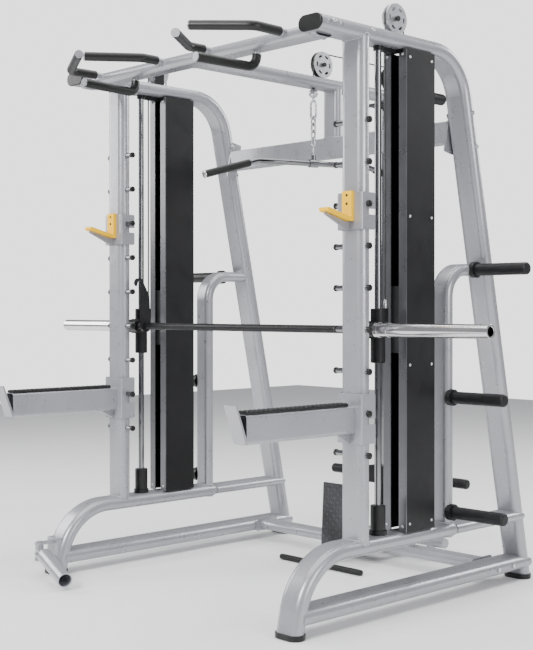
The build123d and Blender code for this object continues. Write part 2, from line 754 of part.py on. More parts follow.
wrap_right = half_wrap(frame_half)
with BuildPart() as cable_wraps:
    add(wrap_right)
    mirror(about=Plane.YZ)
    with BuildLine(Plane.YZ):
        CenterArc((lat_front_y, lat_pulley_z), cable_pitch_r, 180, -90)
        Line((lat_front_y, lat_crown), (lat_rear_y, lat_crown))
        CenterArc((lat_rear_y, lat_pulley_z), cable_pitch_r, 90, -90)
    with BuildSketch(Plane(origin=(0, lat_y, lat_pulley_z))):
        Circle(cable_r)
    sweep()
cable_wraps.part.label = "cable_wraps"
export_step(cable_wraps.part, "parts/cable_wraps.step")

with BuildPart() as bar_cables:
    with BuildSketch(Plane.XY.offset(slider_top)):
        with Locations((frame_half, front_run_y), (-frame_half, front_run_y)):
            Circle(cable_r)
    extrude(amount=pulley_z - slider_top)
bar_cables.part.label = "bar_cables"
export_step(bar_cables.part, "parts/bar_cables.step")

with BuildPart() as counterweight_cables:
    with BuildSketch(Plane.XY.offset(weight_top + eye_h)):
        with Locations((frame_half, rear_run_y), (-frame_half, rear_run_y)):
            Circle(cable_r)
    extrude(amount=pulley_z - weight_top - eye_h)
counterweight_cables.part.label = "counterweight_cables"
export_step(counterweight_cables.part, "parts/counterweight_cables.step")

# ---------------------------------------------------------------------------------------
# Bar carriage: sliders on the guide rods, with a block that carries the bar
# ---------------------------------------------------------------------------------------
block_w, block_h = 54, 64
lug_w, lug_h = 16, 50
with BuildPart() as bar_sliders:
    with Locations((frame_half, rod_y, slider_z)):
        Cylinder(slider_r, slider_h)
    chamfer(bar_sliders.edges().filter_by(GeomType.CIRCLE), 3)
    with BuildSketch(along_x(frame_half - block_w / 2, bar_y, bar_z)):
        Circle(block_h / 2 - 6)
        with Locations((bar_forward / 2, 0)):
            Rectangle(bar_forward, block_h)
    extrude(amount=block_w)
    with Locations((frame_half, (rod_y + front_run_y + 8) / 2, slider_top - lug_h / 2)):
        Box(lug_w, front_run_y + 8 - rod_y, lug_h)
    with Locations((frame_half, rod_y, slider_z)):
        Cylinder(rod_r + running_gap, slider_h + 2, mode=Mode.SUBTRACT)
    with Locations((frame_half, bar_y, bar_z)):
        Cylinder(bar_r + running_gap, block_w + 2, rotation=(0, 90, 0), mode=Mode.SUBTRACT)
    mirror(about=Plane.YZ)
bar_sliders.part.label = "bar_sliders"
export_step(bar_sliders.part, "parts/bar_sliders.step")

sleeve_start = frame_half + block_w / 2 + 1
socket_depth = 58
with BuildPart() as bar_shaft:
    with Locations((0, bar_y, bar_z)):
        Cylinder(bar_r, 2 * (sleeve_start + socket_depth), rotation=(0, 90, 0))
bar_shaft.part.label = "bar_shaft"
export_step(bar_shaft.part, "parts/bar_shaft.step")

with BuildPart() as bar_sleeves:
    with BuildSketch(Plane(origin=(sleeve_start, bar_y, bar_z))):
        with BuildLine():
            Polyline((0, bar_r), (0, sleeve_r + 4), (16, sleeve_r + 4), (16, sleeve_r + 2),
                     (60, sleeve_r + 2), (60, sleeve_r),
                     (bar_length / 2 - sleeve_start, sleeve_r),
                     (bar_length / 2 - sleeve_start, sleeve_bore_r),
                     (socket_depth, sleeve_bore_r), (socket_depth, bar_r), close=True)
        make_face()
    revolve(axis=Axis((sleeve_start, bar_y, bar_z), (1, 0, 0)))
    chamfer(bar_sleeves.edges().filter_by(GeomType.CIRCLE).group_by(Axis.X)[-1], 1.5)
    mirror(about=Plane.YZ)
bar_sleeves.part.label = "bar_sleeves"
export_step(bar_sleeves.part, "parts/bar_sleeves.step")

# each hook is a plate on the bar that reaches forward over a catch pin; it is drawn hooked
# on and then turned back about the bar
hook_x = frame_half - upright_side - pin_in / 2
hook_hub_r = 26
hook_outer = hook_slot_r + hook_rim
with BuildPart() as hook_blank:
    with BuildSketch(Plane.YZ.offset(-hook_t / 2)):
        Circle(hook_hub_r)
        with BuildLine():
            Polyline((-hook_hub_r, 0), (-hook_reach + hook_slot_r + 16, hook_rise - 44),
                     (-hook_reach + hook_slot_r, hook_rise - 16), (-hook_reach, hook_rise),
                     (-hook_reach + hook_outer, hook_rise + 6),
                     (-hook_reach + hook_outer + 44, hook_rise - 40), (hook_hub_r, 0),
                     close=True)
        make_face()
        with Locations((-hook_reach, hook_rise)):
            Circle(hook_outer)
        with Locations((-hook_reach - hook_slot_r - hook_rim / 2, hook_rise - hook_finger / 2)):
            Rectangle(hook_rim, hook_finger)
        with Locations((-hook_reach - hook_slot_r - hook_rim / 2, hook_rise - hook_finger)):
            Circle(hook_rim / 2)
        with Locations((-hook_reach, hook_rise)):
            Circle(hook_slot_r, mode=Mode.SUBTRACT)
        with Locations((-hook_reach, hook_rise - 20)):
            Rectangle(2 * hook_slot_r, 40, mode=Mode.SUBTRACT)
        Circle(bar_r, mode=Mode.SUBTRACT)
    extrude(amount=hook_t)
parked = Location((hook_x, bar_y, bar_z), (-hook_park, 0, 0))
with BuildPart() as bar_hooks:
    with Locations(parked):
        add(hook_blank.part)
    mirror(about=Plane.YZ)
bar_hooks.part.label = "bar_hooks"
export_step(bar_hooks.part, "parts/bar_hooks.step")

# ---------------------------------------------------------------------------------------
# Bar cradles and spotter arms. Both hang on the catch pins by the same folded bracket.
# ---------------------------------------------------------------------------------------
side_in = upright_side + cradle_gap
bracket_front = upright_y - tube_t / 2 - cradle_gap - cradle_t
bracket_back = upright_y + tube_t / 2 + 10
pin_clear = 0.5


def hanging_bracket(hook_z, top, height):
    """Folded plate round the upright with a slot in each cheek that drops over a pin."""
    slot_low = hook_z - hang_drop
    with BuildPart() as bracket:
        with BuildSketch(Plane.XY.offset(hook_z + top - height)):
            with Locations((frame_half, (bracket_front + bracket_back) / 2)):
                Rectangle(2 * (side_in + cradle_t), bracket_back - bracket_front)
            with Locations((frame_half, (bracket_front + cradle_t + bracket_back) / 2)):
                Rectangle(2 * side_in, bracket_back - bracket_front - cradle_t,
                          mode=Mode.SUBTRACT)
        extrude(amount=height)
        fillet(bracket.edges().filter_by(Axis.Z).group_by(Axis.Y)[0], 6)
        fillet(bracket.edges().filter_by(Axis.X).group_by(Axis.Y)[-1], 8)
        with BuildSketch(Plane.YZ.offset(frame_half)):
            with Locations((upright_y, hook_z)):
                Circle(pin_r + pin_clear)
            with Locations((upright_y, (hook_z + slot_low) / 2)):
                Rectangle(2 * (pin_r + pin_clear), hook_z - slot_low)
            with Locations((upright_y, slot_low)):
                Circle(pin_r + pin_clear)
            with Locations(((upright_y + bracket_back) / 2 + 5, slot_low)):
                Rectangle(bracket_back - upright_y + 10, 2 * (pin_r + pin_clear))
        extrude(amount=side_in + 2 * cradle_t, both=True, mode=Mode.SUBTRACT)
    return bracket.part


cradle_z = pin_z(cradle_pin)
cradle_bracket = hanging_bracket(cradle_z, cradle_top, cradle_h)
pad_low = cradle_z - 62
pad_face = bracket_front
lip_y = pad_face - pad_t - lip_reach
gusset_t = 8
with BuildPart() as jhook_right:
    add(cradle_bracket)
    with BuildSketch(Plane.YZ.offset(frame_half - gusset_t / 2)):
        with BuildLine():
            Polyline((pad_face, pad_low - 2), (pad_face - pad_t - 6, pad_low - 2),
                     (lip_y + 6, pad_low + lip_rise - 4), (lip_y + 6, pad_low + lip_rise - 12),
                     (pad_face - 20, cradle_z + cradle_top - cradle_h),
                     (pad_face, cradle_z + cradle_top - cradle_h), close=True)
        make_face()
    extrude(amount=gusset_t)
jhook_right.part.label = "jhook_right"
export_step(jhook_right.part, "parts/jhook_right.step")

with BuildPart() as jhook_left:
    mirror(jhook_right.part, about=Plane.YZ)
jhook_left.part.label = "jhook_left"
export_step(jhook_left.part, "parts/jhook_left.step")

# the yellow pad is one strip: up the bracket's face and forward along a rising lip
with BuildPart() as jhook_pad_right:
    with BuildSketch(Plane.YZ.offset(frame_half - pad_w / 2)):
        with BuildLine():
            Polyline((pad_face, pad_low), (pad_face, pad_low + pad_rise),
                     (pad_face - pad_t, pad_low + pad_rise), (pad_face - pad_t, pad_low + pad_t),
                     (lip_y, pad_low + lip_rise + pad_t), (lip_y, pad_low + lip_rise),
                     (pad_face - pad_t - 4, pad_low), close=True)
        make_face()
    extrude(amount=pad_w)
    fillet(jhook_pad_right.edges().filter_by(Axis.X), 4)
jhook_pad_right.part.label = "jhook_pad_right"
export_step(jhook_pad_right.part, "parts/jhook_pad_right.step")

with BuildPart() as jhook_pad_left:
    mirror(jhook_pad_right.part, about=Plane.YZ)
jhook_pad_left.part.label = "jhook_pad_left"
export_step(jhook_pad_left.part, "parts/jhook_pad_left.step")

spotter_z = pin_z(spotter_pin)
spotter_bracket = hanging_bracket(spotter_z, spotter_top, spotter_h)
arm_top = spotter_z + 28
arm_front = upright_y - arm_reach
end_low = arm_top - arm_h + 2
with BuildPart() as spotter_right:
    add(spotter_bracket)
    with BuildSketch(along_y(frame_half, arm_front, arm_top - arm_h / 2)):
        RectangleRounded(arm_w, arm_h, 12)
        RectangleRounded(arm_w - 2 * arm_wall, arm_h - 2 * arm_wall, 9, mode=Mode.SUBTRACT)
    extrude(amount=bracket_front - arm_front)
    with BuildSketch(Plane.YZ.offset(frame_half - gusset_t / 2)):
        with BuildLine():
            Polyline((bracket_front, arm_top - arm_h), (bracket_front - 70, arm_top - arm_h),
                     (bracket_front, spotter_z + spotter_top - spotter_h), close=True)
        make_face()
    extrude(amount=gusset_t)
    with BuildSketch(Plane.YZ.offset(frame_half - arm_w / 2 - 2)):
        with BuildLine():
            Polyline((arm_front, end_low), (arm_front - end_plate_t, end_low),
                     (arm_front - end_plate_t - end_plate_lean, end_low + end_plate_rise),
                     (arm_front - end_plate_lean, end_low + end_plate_rise),
                     (arm_front, end_low + 14), close=True)
        make_face()
    extrude(amount=arm_w + 4)
spotter_right.part.label = "spotter_right"
export_step(spotter_right.part, "parts/spotter_right.step")

with BuildPart() as spotter_left:
    mirror(spotter_right.part, about=Plane.YZ)
spotter_left.part.label = "spotter_left"
export_step(spotter_left.part, "parts/spotter_left.step")

rubber_length = arm_reach - tube_t / 2 - cradle_gap - cradle_t - 34
with BuildPart() as spotter_pad_right:
    with Locations((frame_half, arm_front + 4 + rubber_length / 2, arm_top + rubber_t / 2)):
        Box(rubber_w, rubber_length, rubber_t)
    fillet(spotter_pad_right.faces().sort_by(Axis.Z)[-1].edges(), 3)
spotter_pad_right.part.label = "spotter_pad_right"
export_step(spotter_pad_right.part, "parts/spotter_pad_right.step")

with BuildPart() as spotter_pad_left:
    mirror(spotter_pad_right.part, about=Plane.YZ)
spotter_pad_left.part.label = "spotter_pad_left"
export_step(spotter_pad_left.part, "parts/spotter_pad_left.step")

# ---------------------------------------------------------------------------------------
# Plate storage pegs on the posts, and one accessory peg behind the right tower
# ---------------------------------------------------------------------------------------
peg_start = frame_half + post_w / 2
accessory_z, accessory_length = 1937, 118
peg_spots = [(post_y, peg_mid_z), (post_y, peg_low_z), (upright_y + peg_top_back, post_arm_z)]
with BuildPart() as storage_pegs:
    for y, z in peg_spots:
        with BuildSketch(along_x(peg_start - 8, y, z)):
            Circle(flange_r)
        extrude(amount=flange_t + 8)
        with BuildSketch(along_x(peg_start + flange_t, y, z)):
            Circle(peg_r)
        extrude(amount=peg_length)
    fillet(storage_pegs.edges().filter_by(GeomType.CIRCLE).group_by(Axis.X)[-1], 8)
    add(post_form, mode=Mode.SUBTRACT)
    mirror(about=Plane.YZ)
    with BuildSketch(along_y(frame_half, tower_y + tower_d, accessory_z)):
        Circle(peg_r - 2)
    extrude(amount=accessory_length)
    fillet(storage_pegs.edges().filter_by(GeomType.CIRCLE)
           .filter_by_position(Axis.Z, accessory_z - 1, accessory_z + 1)
           .group_by(Axis.Y)[-1], 8)
storage_pegs.part.label = "storage_pegs"
export_step(storage_pegs.part, "parts/storage_pegs.step")

# ---------------------------------------------------------------------------------------
# Lat station: column foot, plate carriage and hanging bar
# ---------------------------------------------------------------------------------------
rear_beam_form = straight_tube(along_x(-rear_beam_end, rear_beam_y, base_rail_z), post_w,
                               post_t, 2 * rear_beam_end)
with BuildPart() as column_foot:
    for x in (-foot_side_x, foot_side_x):
        with BuildSketch(along_y(x, rear_beam_y, base_rail_z)):
            RectangleRounded(foot_side_w, foot_side_h, 5)
            RectangleRounded(foot_side_w - 2 * post_wall, foot_side_h - 2 * post_wall, 2.5,
                             mode=Mode.SUBTRACT)
        extrude(amount=column_y - rear_beam_y)
    add(rear_beam_form, mode=Mode.SUBTRACT)
    with Locations((0, column_y, base_rail_z)):
        Cylinder(foot_cross_r, 2 * foot_cross_half, rotation=(0, 90, 0))
    for x in (-column_foot_x, column_foot_x):
        with Locations((x, column_y, (pad_h + base_rail_z) / 2)):
            Cylinder(column_pad_r - 6, base_rail_z - pad_h)
    for x in (-column_rod_half, column_rod_half):
        with Locations((x, column_y, (base_rail_z + column_rod_low) / 2)):
            Cylinder(bumper_r - 4, column_rod_low - base_rail_z)
column_foot.part.label = "column_foot"
export_step(column_foot.part, "parts/column_foot.step")

with BuildPart() as plate_carriage:
    with BuildSketch(along_x(carriage_w / 2, column_y, carriage_z)):
        Circle(horn_flange_r)
    extrude(amount=flange_t)
    with BuildSketch(along_x(carriage_w / 2, column_y, carriage_z)):
        Circle(horn_r)
    extrude(amount=horn_tip - carriage_w / 2)
    fillet(plate_carriage.edges().filter_by(GeomType.CIRCLE).group_by(Axis.X)[-1], 8)
    with Locations((0, column_y, carriage_z)):
        Box(carriage_w, carriage_d, carriage_h)
    mirror(about=Plane.YZ)
    for x in (-column_rod_half, column_rod_half):
        with Locations((x, column_y, carriage_z)):
            Cylinder(column_rod_r + running_gap, carriage_h + 2, mode=Mode.SUBTRACT)
    for x, y in ((0, column_y), (low_top_x, low_drop_y)):
        with Locations((x, y, carriage_z + carriage_h / 2 + eye_h / 2)):
            Cylinder(8, eye_h)
plate_carriage.part.label = "plate_carriage"
export_step(plate_carriage.part, "parts/plate_carriage.step")

carriage_eye = carriage_z + carriage_h / 2 + eye_h
with BuildPart() as carriage_cables:
    with BuildSketch(Plane.XY.offset(carriage_eye)):
        with Locations((0, lat_rear_run_y)):
            Circle(cable_r)
    extrude(amount=lat_pulley_z - carriage_eye)
    with BuildSketch(Plane.XY.offset(carriage_eye)):
        with Locations((low_top_x, low_drop_y)):
            Circle(cable_r)
    extrude(amount=low_top_z - carriage_eye)
carriage_cables.part.label = "carriage_cables"
export_step(carriage_cables.part, "parts/carriage_cables.step")

ball_z = beam_z - post_t / 2 - stop_ball_r - 2
with BuildPart() as lat_cable_front:
    with BuildSketch(Plane.XY.offset(ball_z + stop_ball_r)):
        with Locations((0, lat_y)):
            Circle(cable_r)
    extrude(amount=lat_pulley_z - ball_z - stop_ball_r)
lat_cable_front.part.label = "lat_cable_front"
export_step(lat_cable_front.part, "parts/lat_cable_front.step")

# stop ball, snap hook, chain and swivel, hanging in line under the front wheel
boss_r, boss_low, boss_h = 11, 10, 26
swivel_head_r, swivel_pin_r, swivel_head_h = 7, 4, 7
snap_h, snap_w, snap_r = 66, 40, 5
link_gap = 0.2


def ring(z_low, inner_h, width, wire_r, turned):
    """One closed chain link, upright, with its lowest inner point at z_low."""
    half = width / 2 - wire_r
    rise = inner_h / 2 + wire_r - half
    middle = z_low + inner_h / 2
    plane = Plane(origin=(0, lat_y, middle), x_dir=(0, 1, 0) if turned else (1, 0, 0),
                  z_dir=(1, 0, 0) if turned else (0, -1, 0))
    with BuildPart() as link:
        with BuildLine(plane) as oval:
            Line((half, -rise), (half, rise))
            CenterArc((0, rise), half, 0, 180)
            Line((-half, rise), (-half, -rise))
            CenterArc((0, -rise), half, 180, 180)
        with BuildSketch(Plane(origin=oval.wires()[0] @ 0, z_dir=oval.wires()[0] % 0)):
            Circle(wire_r)
        sweep(path=oval.wires()[0])
    return link.part


boss_top = lat_bar_z + boss_low + boss_h
swivel_eye = boss_top + 16
chain_top = ball_z - stop_ball_r - 18 - snap_h
link_pitch = link_inner - link_gap
link_count = int((chain_top - swivel_eye) / link_pitch)
swivel_eye = chain_top - link_count * link_pitch
links = [ring(chain_top - (index + 1) * link_pitch, link_inner, link_w, link_r, index % 2 == 0)
         for index in range(link_count)]
snap_hook = ring(chain_top, snap_h, snap_w, snap_r, False)
with BuildPart() as lat_chain:
    with Locations((0, lat_y, ball_z)):
        Sphere(stop_ball_r)
    with Locations((0, lat_y, ball_z - stop_ball_r - 5)):
        Cylinder(7, 14)
    add(snap_hook)
    for piece in links:
        add(piece)
    pin_low = lat_bar_z + boss_low + 9
    with Locations((0, lat_y, pin_low + swivel_head_h / 2)):
        Cylinder(swivel_head_r, swivel_head_h)
    with Locations((0, lat_y, (pin_low + swivel_eye) / 2)):
        Cylinder(swivel_pin_r, swivel_eye - pin_low)
lat_chain.part.label = "lat_chain"
export_step(lat_chain.part, "parts/lat_chain.step")

swing = Vector(cos(radians(lat_bar_turn)), sin(radians(lat_bar_turn)), 0)
lat_centre = Vector(0, lat_y, lat_bar_z)
fall = Vector(0, 0, -lat_drop)
lat_points = [lat_centre - swing * lat_half + fall, lat_centre - swing * lat_straight,
              lat_centre + swing * lat_straight, lat_centre + swing * lat_half + fall]
lat_tube = bent_rod([tuple(point) for point in lat_points], 60, lat_bar_r)
with BuildPart() as lat_bar:
    add(lat_tube)
    with Locations(Location((0, lat_y, lat_bar_z), (0, 0, lat_bar_turn))):
        Cylinder(lat_bar_r + 5, 40, rotation=(0, 90, 0))
    with Locations((0, lat_y, lat_bar_z + boss_low + boss_h / 2)):
        Cylinder(boss_r, boss_h)
    with Locations((0, lat_y, pin_low + swivel_head_h / 2)):
        Cylinder(swivel_head_r + running_gap, swivel_head_h + 1, mode=Mode.SUBTRACT)
    with Locations((0, lat_y, boss_top)):
        Cylinder(swivel_pin_r + running_gap, boss_h, mode=Mode.SUBTRACT)
lat_bar.part.label = "lat_bar"
export_step(lat_bar.part, "parts/lat_bar.step")

grip_length = (lat_points[0] - lat_points[1]).length - 40
with BuildPart() as lat_grips:
    for end, corner in ((lat_points[0], lat_points[1]), (lat_points[3], lat_points[2])):
        heading = (end - corner).normalized()
        with BuildSketch(Plane(origin=end - heading * grip_length, z_dir=heading)):
            Circle(lat_grip_r)
            Circle(lat_bar_r, mode=Mode.SUBTRACT)
        extrude(amount=grip_length)
        with BuildSketch(Plane(origin=end, z_dir=heading)):
            Circle(lat_grip_r)
        extrude(amount=6)
lat_grips.part.label = "lat_grips"
export_step(lat_grips.part, "parts/lat_grips.step")

# ---------------------------------------------------------------------------------------
# Low row: foot plate, straight bar on the floor and its cable
# ---------------------------------------------------------------------------------------
step_y = upright_y + step_back
step_arm_half = 70
with BuildPart() as foot_plate:
    with BuildSketch(Plane(origin=(0, step_y, step_low), x_dir=(1, 0, 0),
                           z_dir=(0, -cos(radians(step_tilt)), sin(radians(step_tilt))))):
        with Locations((0, step_h / 2)):
            RectangleRounded(step_w, step_h, 6)
    extrude(amount=-step_t)
    with BuildSketch(Plane.YZ.offset(step_arm_half)):
        with BuildLine():
            Polyline((step_y + step_t + 1.5, base_rail_z - 14), (beam_face + 20, base_rail_z - 14),
                     (beam_face + 20, base_rail_z + 14), (step_y + step_t + 70, base_rail_z + 14),
                     (step_y + step_t + 9, step_low + 200), (step_y + step_t + 7.5, step_low + 120),
                     close=True)
        make_face()
    extrude(amount=6)
    mirror(about=Plane.YZ)
    add(rear_beam_form, mode=Mode.SUBTRACT)
foot_plate.part.label = "foot_plate"
export_step(foot_plate.part, "parts/foot_plate.step")

low_bar_y = upright_y + low_bar_back
low_eye_back = 26
with BuildPart() as low_bar:
    with Locations((0, low_bar_y, low_bar_r)):
        Cylinder(low_bar_r, low_bar_length, rotation=(0, 90, 0))
    fillet(low_bar.edges().filter_by(GeomType.CIRCLE), 5)
    with Locations((0, low_bar_y + low_eye_back / 2, low_bar_r)):
        Box(10, low_eye_back, 14)
low_bar.part.label = "low_bar"
export_step(low_bar.part, "parts/low_bar.step")

# the low cable runs back from the bar's eye, under its front wheel and the floor beam, round
# the rear wheel, up to the top wheel and down to the carriage
low_eye_y = low_bar_y + low_eye_back
low_split_y = low_front_y + 6
with BuildPart() as low_bar_cable:
    with BuildLine(Plane.YZ) as front_route:
        FilletPolyline((low_eye_y + cable_gap, low_bar_r), (low_front_y - 38, low_run_z),
                       (low_split_y, low_run_z), radius=60)
    with BuildSketch(Plane(origin=front_route.line @ 0, z_dir=front_route.line % 0)):
        Circle(cable_r)
    sweep()
low_bar_cable.part.label = "low_bar_cable"
export_step(low_bar_cable.part, "parts/low_bar_cable.step")

rise_low = low_wheel_z + 20
rise_high = low_top_z - 20
with BuildPart() as low_cable:
    with BuildLine(Plane.YZ) as rear_route:
        FilletPolyline((low_split_y, low_run_z), (low_rise_y, low_run_z),
                       (low_rise_y, rise_low), radius=low_pitch_r)
    with BuildSketch(Plane(origin=rear_route.line @ 0, z_dir=rear_route.line % 0)):
        Circle(cable_r)
    sweep()
    with BuildLine(Plane.YZ.offset(low_top_x)) as top_route:
        Line((low_rise_y, rise_high), (low_rise_y, low_top_z))
        CenterArc((low_top_y, low_top_z), low_pitch_r, 180, -180)
    with BuildSketch(Plane(origin=(low_top_x, low_rise_y, rise_high))):
        Circle(cable_r)
    sweep(path=top_route.wires()[0])
    add(rod((0, low_rise_y, rise_low), (low_top_x, low_rise_y, rise_high), cable_r))
low_cable.part.label = "low_cable"
export_step(low_cable.part, "parts/low_cable.step")

# ---------------------------------------------------------------------------------------
# Bar socket on the left front foot: bracket, turning yoke and tipping tube
# ---------------------------------------------------------------------------------------
socket_x = -frame_half
socket_y = upright_y - socket_forward
bracket_w, bracket_h, ear_t = 76, 104, 8
arch_form_left = mirror(arch_form, about=Plane.YZ)
with BuildPart() as landmine_bracket:
    with BuildSketch(along_y(socket_x, arch_y(socket_z) - tube_t / 2 - 10, socket_z)):
        RectangleRounded(bracket_w, bracket_h, 8)
    extrude(amount=24)
    add(arch_form_left, mode=Mode.SUBTRACT)
    for z in (socket_z - 30 - ear_t, socket_z + 30):
        with BuildSketch(Plane.XY.offset(z)):
            with Locations((socket_x, socket_y)):
                Circle(20)
            with Locations((socket_x, (socket_y + arch_y(socket_z) - tube_t / 2) / 2)):
                Rectangle(40, arch_y(socket_z) - tube_t / 2 - socket_y)
        extrude(amount=ear_t)
    add(arch_form_left, mode=Mode.SUBTRACT)
    with Locations((socket_x, socket_y, socket_z)):
        Cylinder(8 + running_gap, 90, mode=Mode.SUBTRACT)
landmine_bracket.part.label = "landmine_bracket"
export_step(landmine_bracket.part, "parts/landmine_bracket.step")

turned = Location((socket_x, socket_y, socket_z), (0, 0, -socket_yaw))
dipped = turned * Location((34, 0, 0), (0, socket_dip, 0))
with BuildPart() as yoke_blank:
    Cylinder(17, 59)
    with Locations((0, 0, 0)):
        Cylinder(8, 78)
    with Locations((0, 0, 41)):
        Cylinder(12, 5)
    with Locations((20, 0, 0)):
        Box(30, 22, 30)
    with BuildSketch(Plane.XZ.offset(-11)):
        with Locations((34, 0)):
            Circle(15)
    extrude(amount=22)
    with Locations((34, 0, 0)):
        Cylinder(6, 60, rotation=(90, 0, 0))
with BuildPart() as landmine_yoke:
    with Locations(turned):
        add(yoke_blank.part)
landmine_yoke.part.label = "landmine_yoke"
export_step(landmine_yoke.part, "parts/landmine_yoke.step")

ear_gap = 0.6
with BuildPart() as tube_blank:
    with BuildSketch(Plane.YZ.offset(40)):
        Circle(socket_r)
        Circle(socket_bore_r, mode=Mode.SUBTRACT)
    extrude(amount=socket_length)
    with BuildSketch(Plane.YZ.offset(32)):
        Circle(socket_r)
    extrude(amount=8)
    for side in (-1, 1):
        with BuildSketch(Plane.XZ.offset(-side * (11 + ear_gap))):
            with Locations((0, 0)):
                Circle(15)
            with Locations((17, 0)):
                Rectangle(34, 30)
            Circle(6 + running_gap, mode=Mode.SUBTRACT)
        extrude(amount=-side * 9)
with BuildPart() as landmine_tube:
    with Locations(dipped):
        add(tube_blank.part)
landmine_tube.part.label = "landmine_tube"
export_step(landmine_tube.part, "parts/landmine_tube.step")

print("upright_y", upright_y, "front", -front_reach + upright_y, "rear", rear_reach + upright_y)
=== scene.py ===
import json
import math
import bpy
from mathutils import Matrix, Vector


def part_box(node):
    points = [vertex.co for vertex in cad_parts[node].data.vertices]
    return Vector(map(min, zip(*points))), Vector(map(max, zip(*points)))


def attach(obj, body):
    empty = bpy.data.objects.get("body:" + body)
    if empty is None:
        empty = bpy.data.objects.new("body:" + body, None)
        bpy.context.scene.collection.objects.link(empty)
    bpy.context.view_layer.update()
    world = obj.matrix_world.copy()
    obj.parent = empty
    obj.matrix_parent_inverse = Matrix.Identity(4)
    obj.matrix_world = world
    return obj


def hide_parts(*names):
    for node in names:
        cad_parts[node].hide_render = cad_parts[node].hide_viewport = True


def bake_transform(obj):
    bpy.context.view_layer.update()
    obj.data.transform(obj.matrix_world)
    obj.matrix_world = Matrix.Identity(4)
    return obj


bl_info = {
    "name": "Smith machine finishes",
    "version": (1, 0, 0),
    "blender": (4, 5, 0),
    "location": "3D View > Sidebar > Smith machine",
    "description": "Finishes, rubber, welds, screws, cables and studio for a smith machine",
    "category": "Object",
}

import bmesh
import bpy
import numpy as np

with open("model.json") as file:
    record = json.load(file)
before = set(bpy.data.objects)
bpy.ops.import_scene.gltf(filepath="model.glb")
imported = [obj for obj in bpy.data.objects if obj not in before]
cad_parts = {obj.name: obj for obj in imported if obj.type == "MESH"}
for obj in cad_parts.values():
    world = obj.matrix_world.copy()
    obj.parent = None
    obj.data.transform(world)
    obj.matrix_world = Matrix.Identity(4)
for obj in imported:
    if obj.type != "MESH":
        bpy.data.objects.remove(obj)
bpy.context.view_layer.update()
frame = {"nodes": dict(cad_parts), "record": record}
NODES = frame["nodes"]


# ------------------------------------------------------------------ shapes, as whole arrays
def unit(v):
    """Vectors divided by their own length."""
    v = np.asarray(v, float)
    return v / np.linalg.norm(v, axis=-1, keepdims=True)


def across(axis):
    """Two unit vectors square to an axis and to each other."""
    axis = unit(axis)
    helper = np.where(abs(axis[2]) < 0.9, 1.0, 0.0) * np.array([0, 0, 1.0])
    helper = helper + np.where(abs(axis[2]) < 0.9, 0.0, 1.0) * np.array([1.0, 0, 0])
    first = unit(np.cross(helper, axis))
    return first, np.cross(axis, first)


def skin(rings, caps=True):
    """A closed skin over rings of points, shape (rings, points, 3): each point joins the next
    round the ring and the same one on the next ring, and a fan closes each end."""
    n, m = rings.shape[:2]
    index = np.arange(n * m).reshape(n, m)
    a = index[:-1]
    b = index[1:]
    quads = np.stack([a, np.roll(a, -1, 1), np.roll(b, -1, 1), b], -1).reshape(-1, 4)
    verts = rings.reshape(-1, 3)
    faces = quads.tolist()
    if caps:
        verts = np.vstack([verts, rings[0].mean(0), rings[-1].mean(0)])
        low = np.stack([np.roll(index[0], -1), index[0], np.full(m, n * m)], -1)
        high = np.stack([index[-1], np.roll(index[-1], -1), np.full(m, n * m + 1)], -1)
        faces += low.tolist() + high.tolist()
    return verts, faces


def loop(rings):
    """A skin whose last ring joins its first, such as a closed bead."""
    verts, faces = skin(np.concatenate([rings, rings[:1]]), caps=False)
    n, m = rings.shape[:2]
    faces = (np.asarray(faces) % (n * m)).tolist()
    return verts[: n * m], faces


def lathe(profile, origin, axis, sides=24, flats=0):
    """A profile of (distance along the axis, radius) turned round the axis. With flats, the
    radius follows a polygon: it is divided by the cosine of the angle to the nearest flat."""
    profile = np.asarray(profile, float)
    turn = np.linspace(0, 2 * math.pi, sides, endpoint=False)
    shape = np.ones(sides)
    if flats:
        step = 2 * math.pi / flats
        shape = math.cos(step / 2) / np.cos((turn + step / 2) % step - step / 2)
    first, second = across(axis)
    circle = np.outer(np.cos(turn) * shape, first) + np.outer(np.sin(turn) * shape, second)
    rings = (np.asarray(origin, float) + profile[:, 0, None, None] * unit(axis)
             + profile[:, 1, None, None] * circle)
    return skin(rings)


def rope(path, radius, sides=10, closed=False):
    """A round section carried along a path: each ring is centred on a path point and lies
    square to the line between that point's neighbours. radius may vary along the path."""
    path = np.asarray(path, float)
    if closed:
        heading = unit(np.roll(path, -1, 0) - np.roll(path, 1, 0))
    else:
        heading = unit(np.gradient(path, axis=0))
    helper = np.array([0.31, 0.17, 0.93])
    first = unit(np.cross(heading, helper))
    second = np.cross(heading, first)
    turn = np.linspace(0, 2 * math.pi, sides, endpoint=False)
    radius = np.broadcast_to(np.asarray(radius, float), (len(path),))
    rings = path[:, None] + radius[:, None, None] * (
        np.cos(turn)[None, :, None] * first[:, None] + np.sin(turn)[None, :, None] * second[:, None])
    return loop(rings) if closed else skin(rings)


def oval(width, thick, count):
    """Points evenly spaced round a flat oval: two straight sides joined by half circles."""
    straight = width - thick
    r = thick / 2
    arc = math.pi * r
    s = np.linspace(0, 2 * (straight + arc), count, endpoint=False)
    side = [s < straight, s < straight + arc, s < 2 * straight + arc]
    turn = (s - straight) / r
    back = (s - 2 * straight - arc) / r
    a = np.select(side, [s - straight / 2, straight / 2 + r * np.sin(turn),
                         straight / 2 - (s - straight - arc)], -straight / 2 - r * np.sin(back))
    b = np.select(side, [-r + 0 * s, -r * np.cos(turn), r + 0 * s], r * np.cos(back))
    return a, b


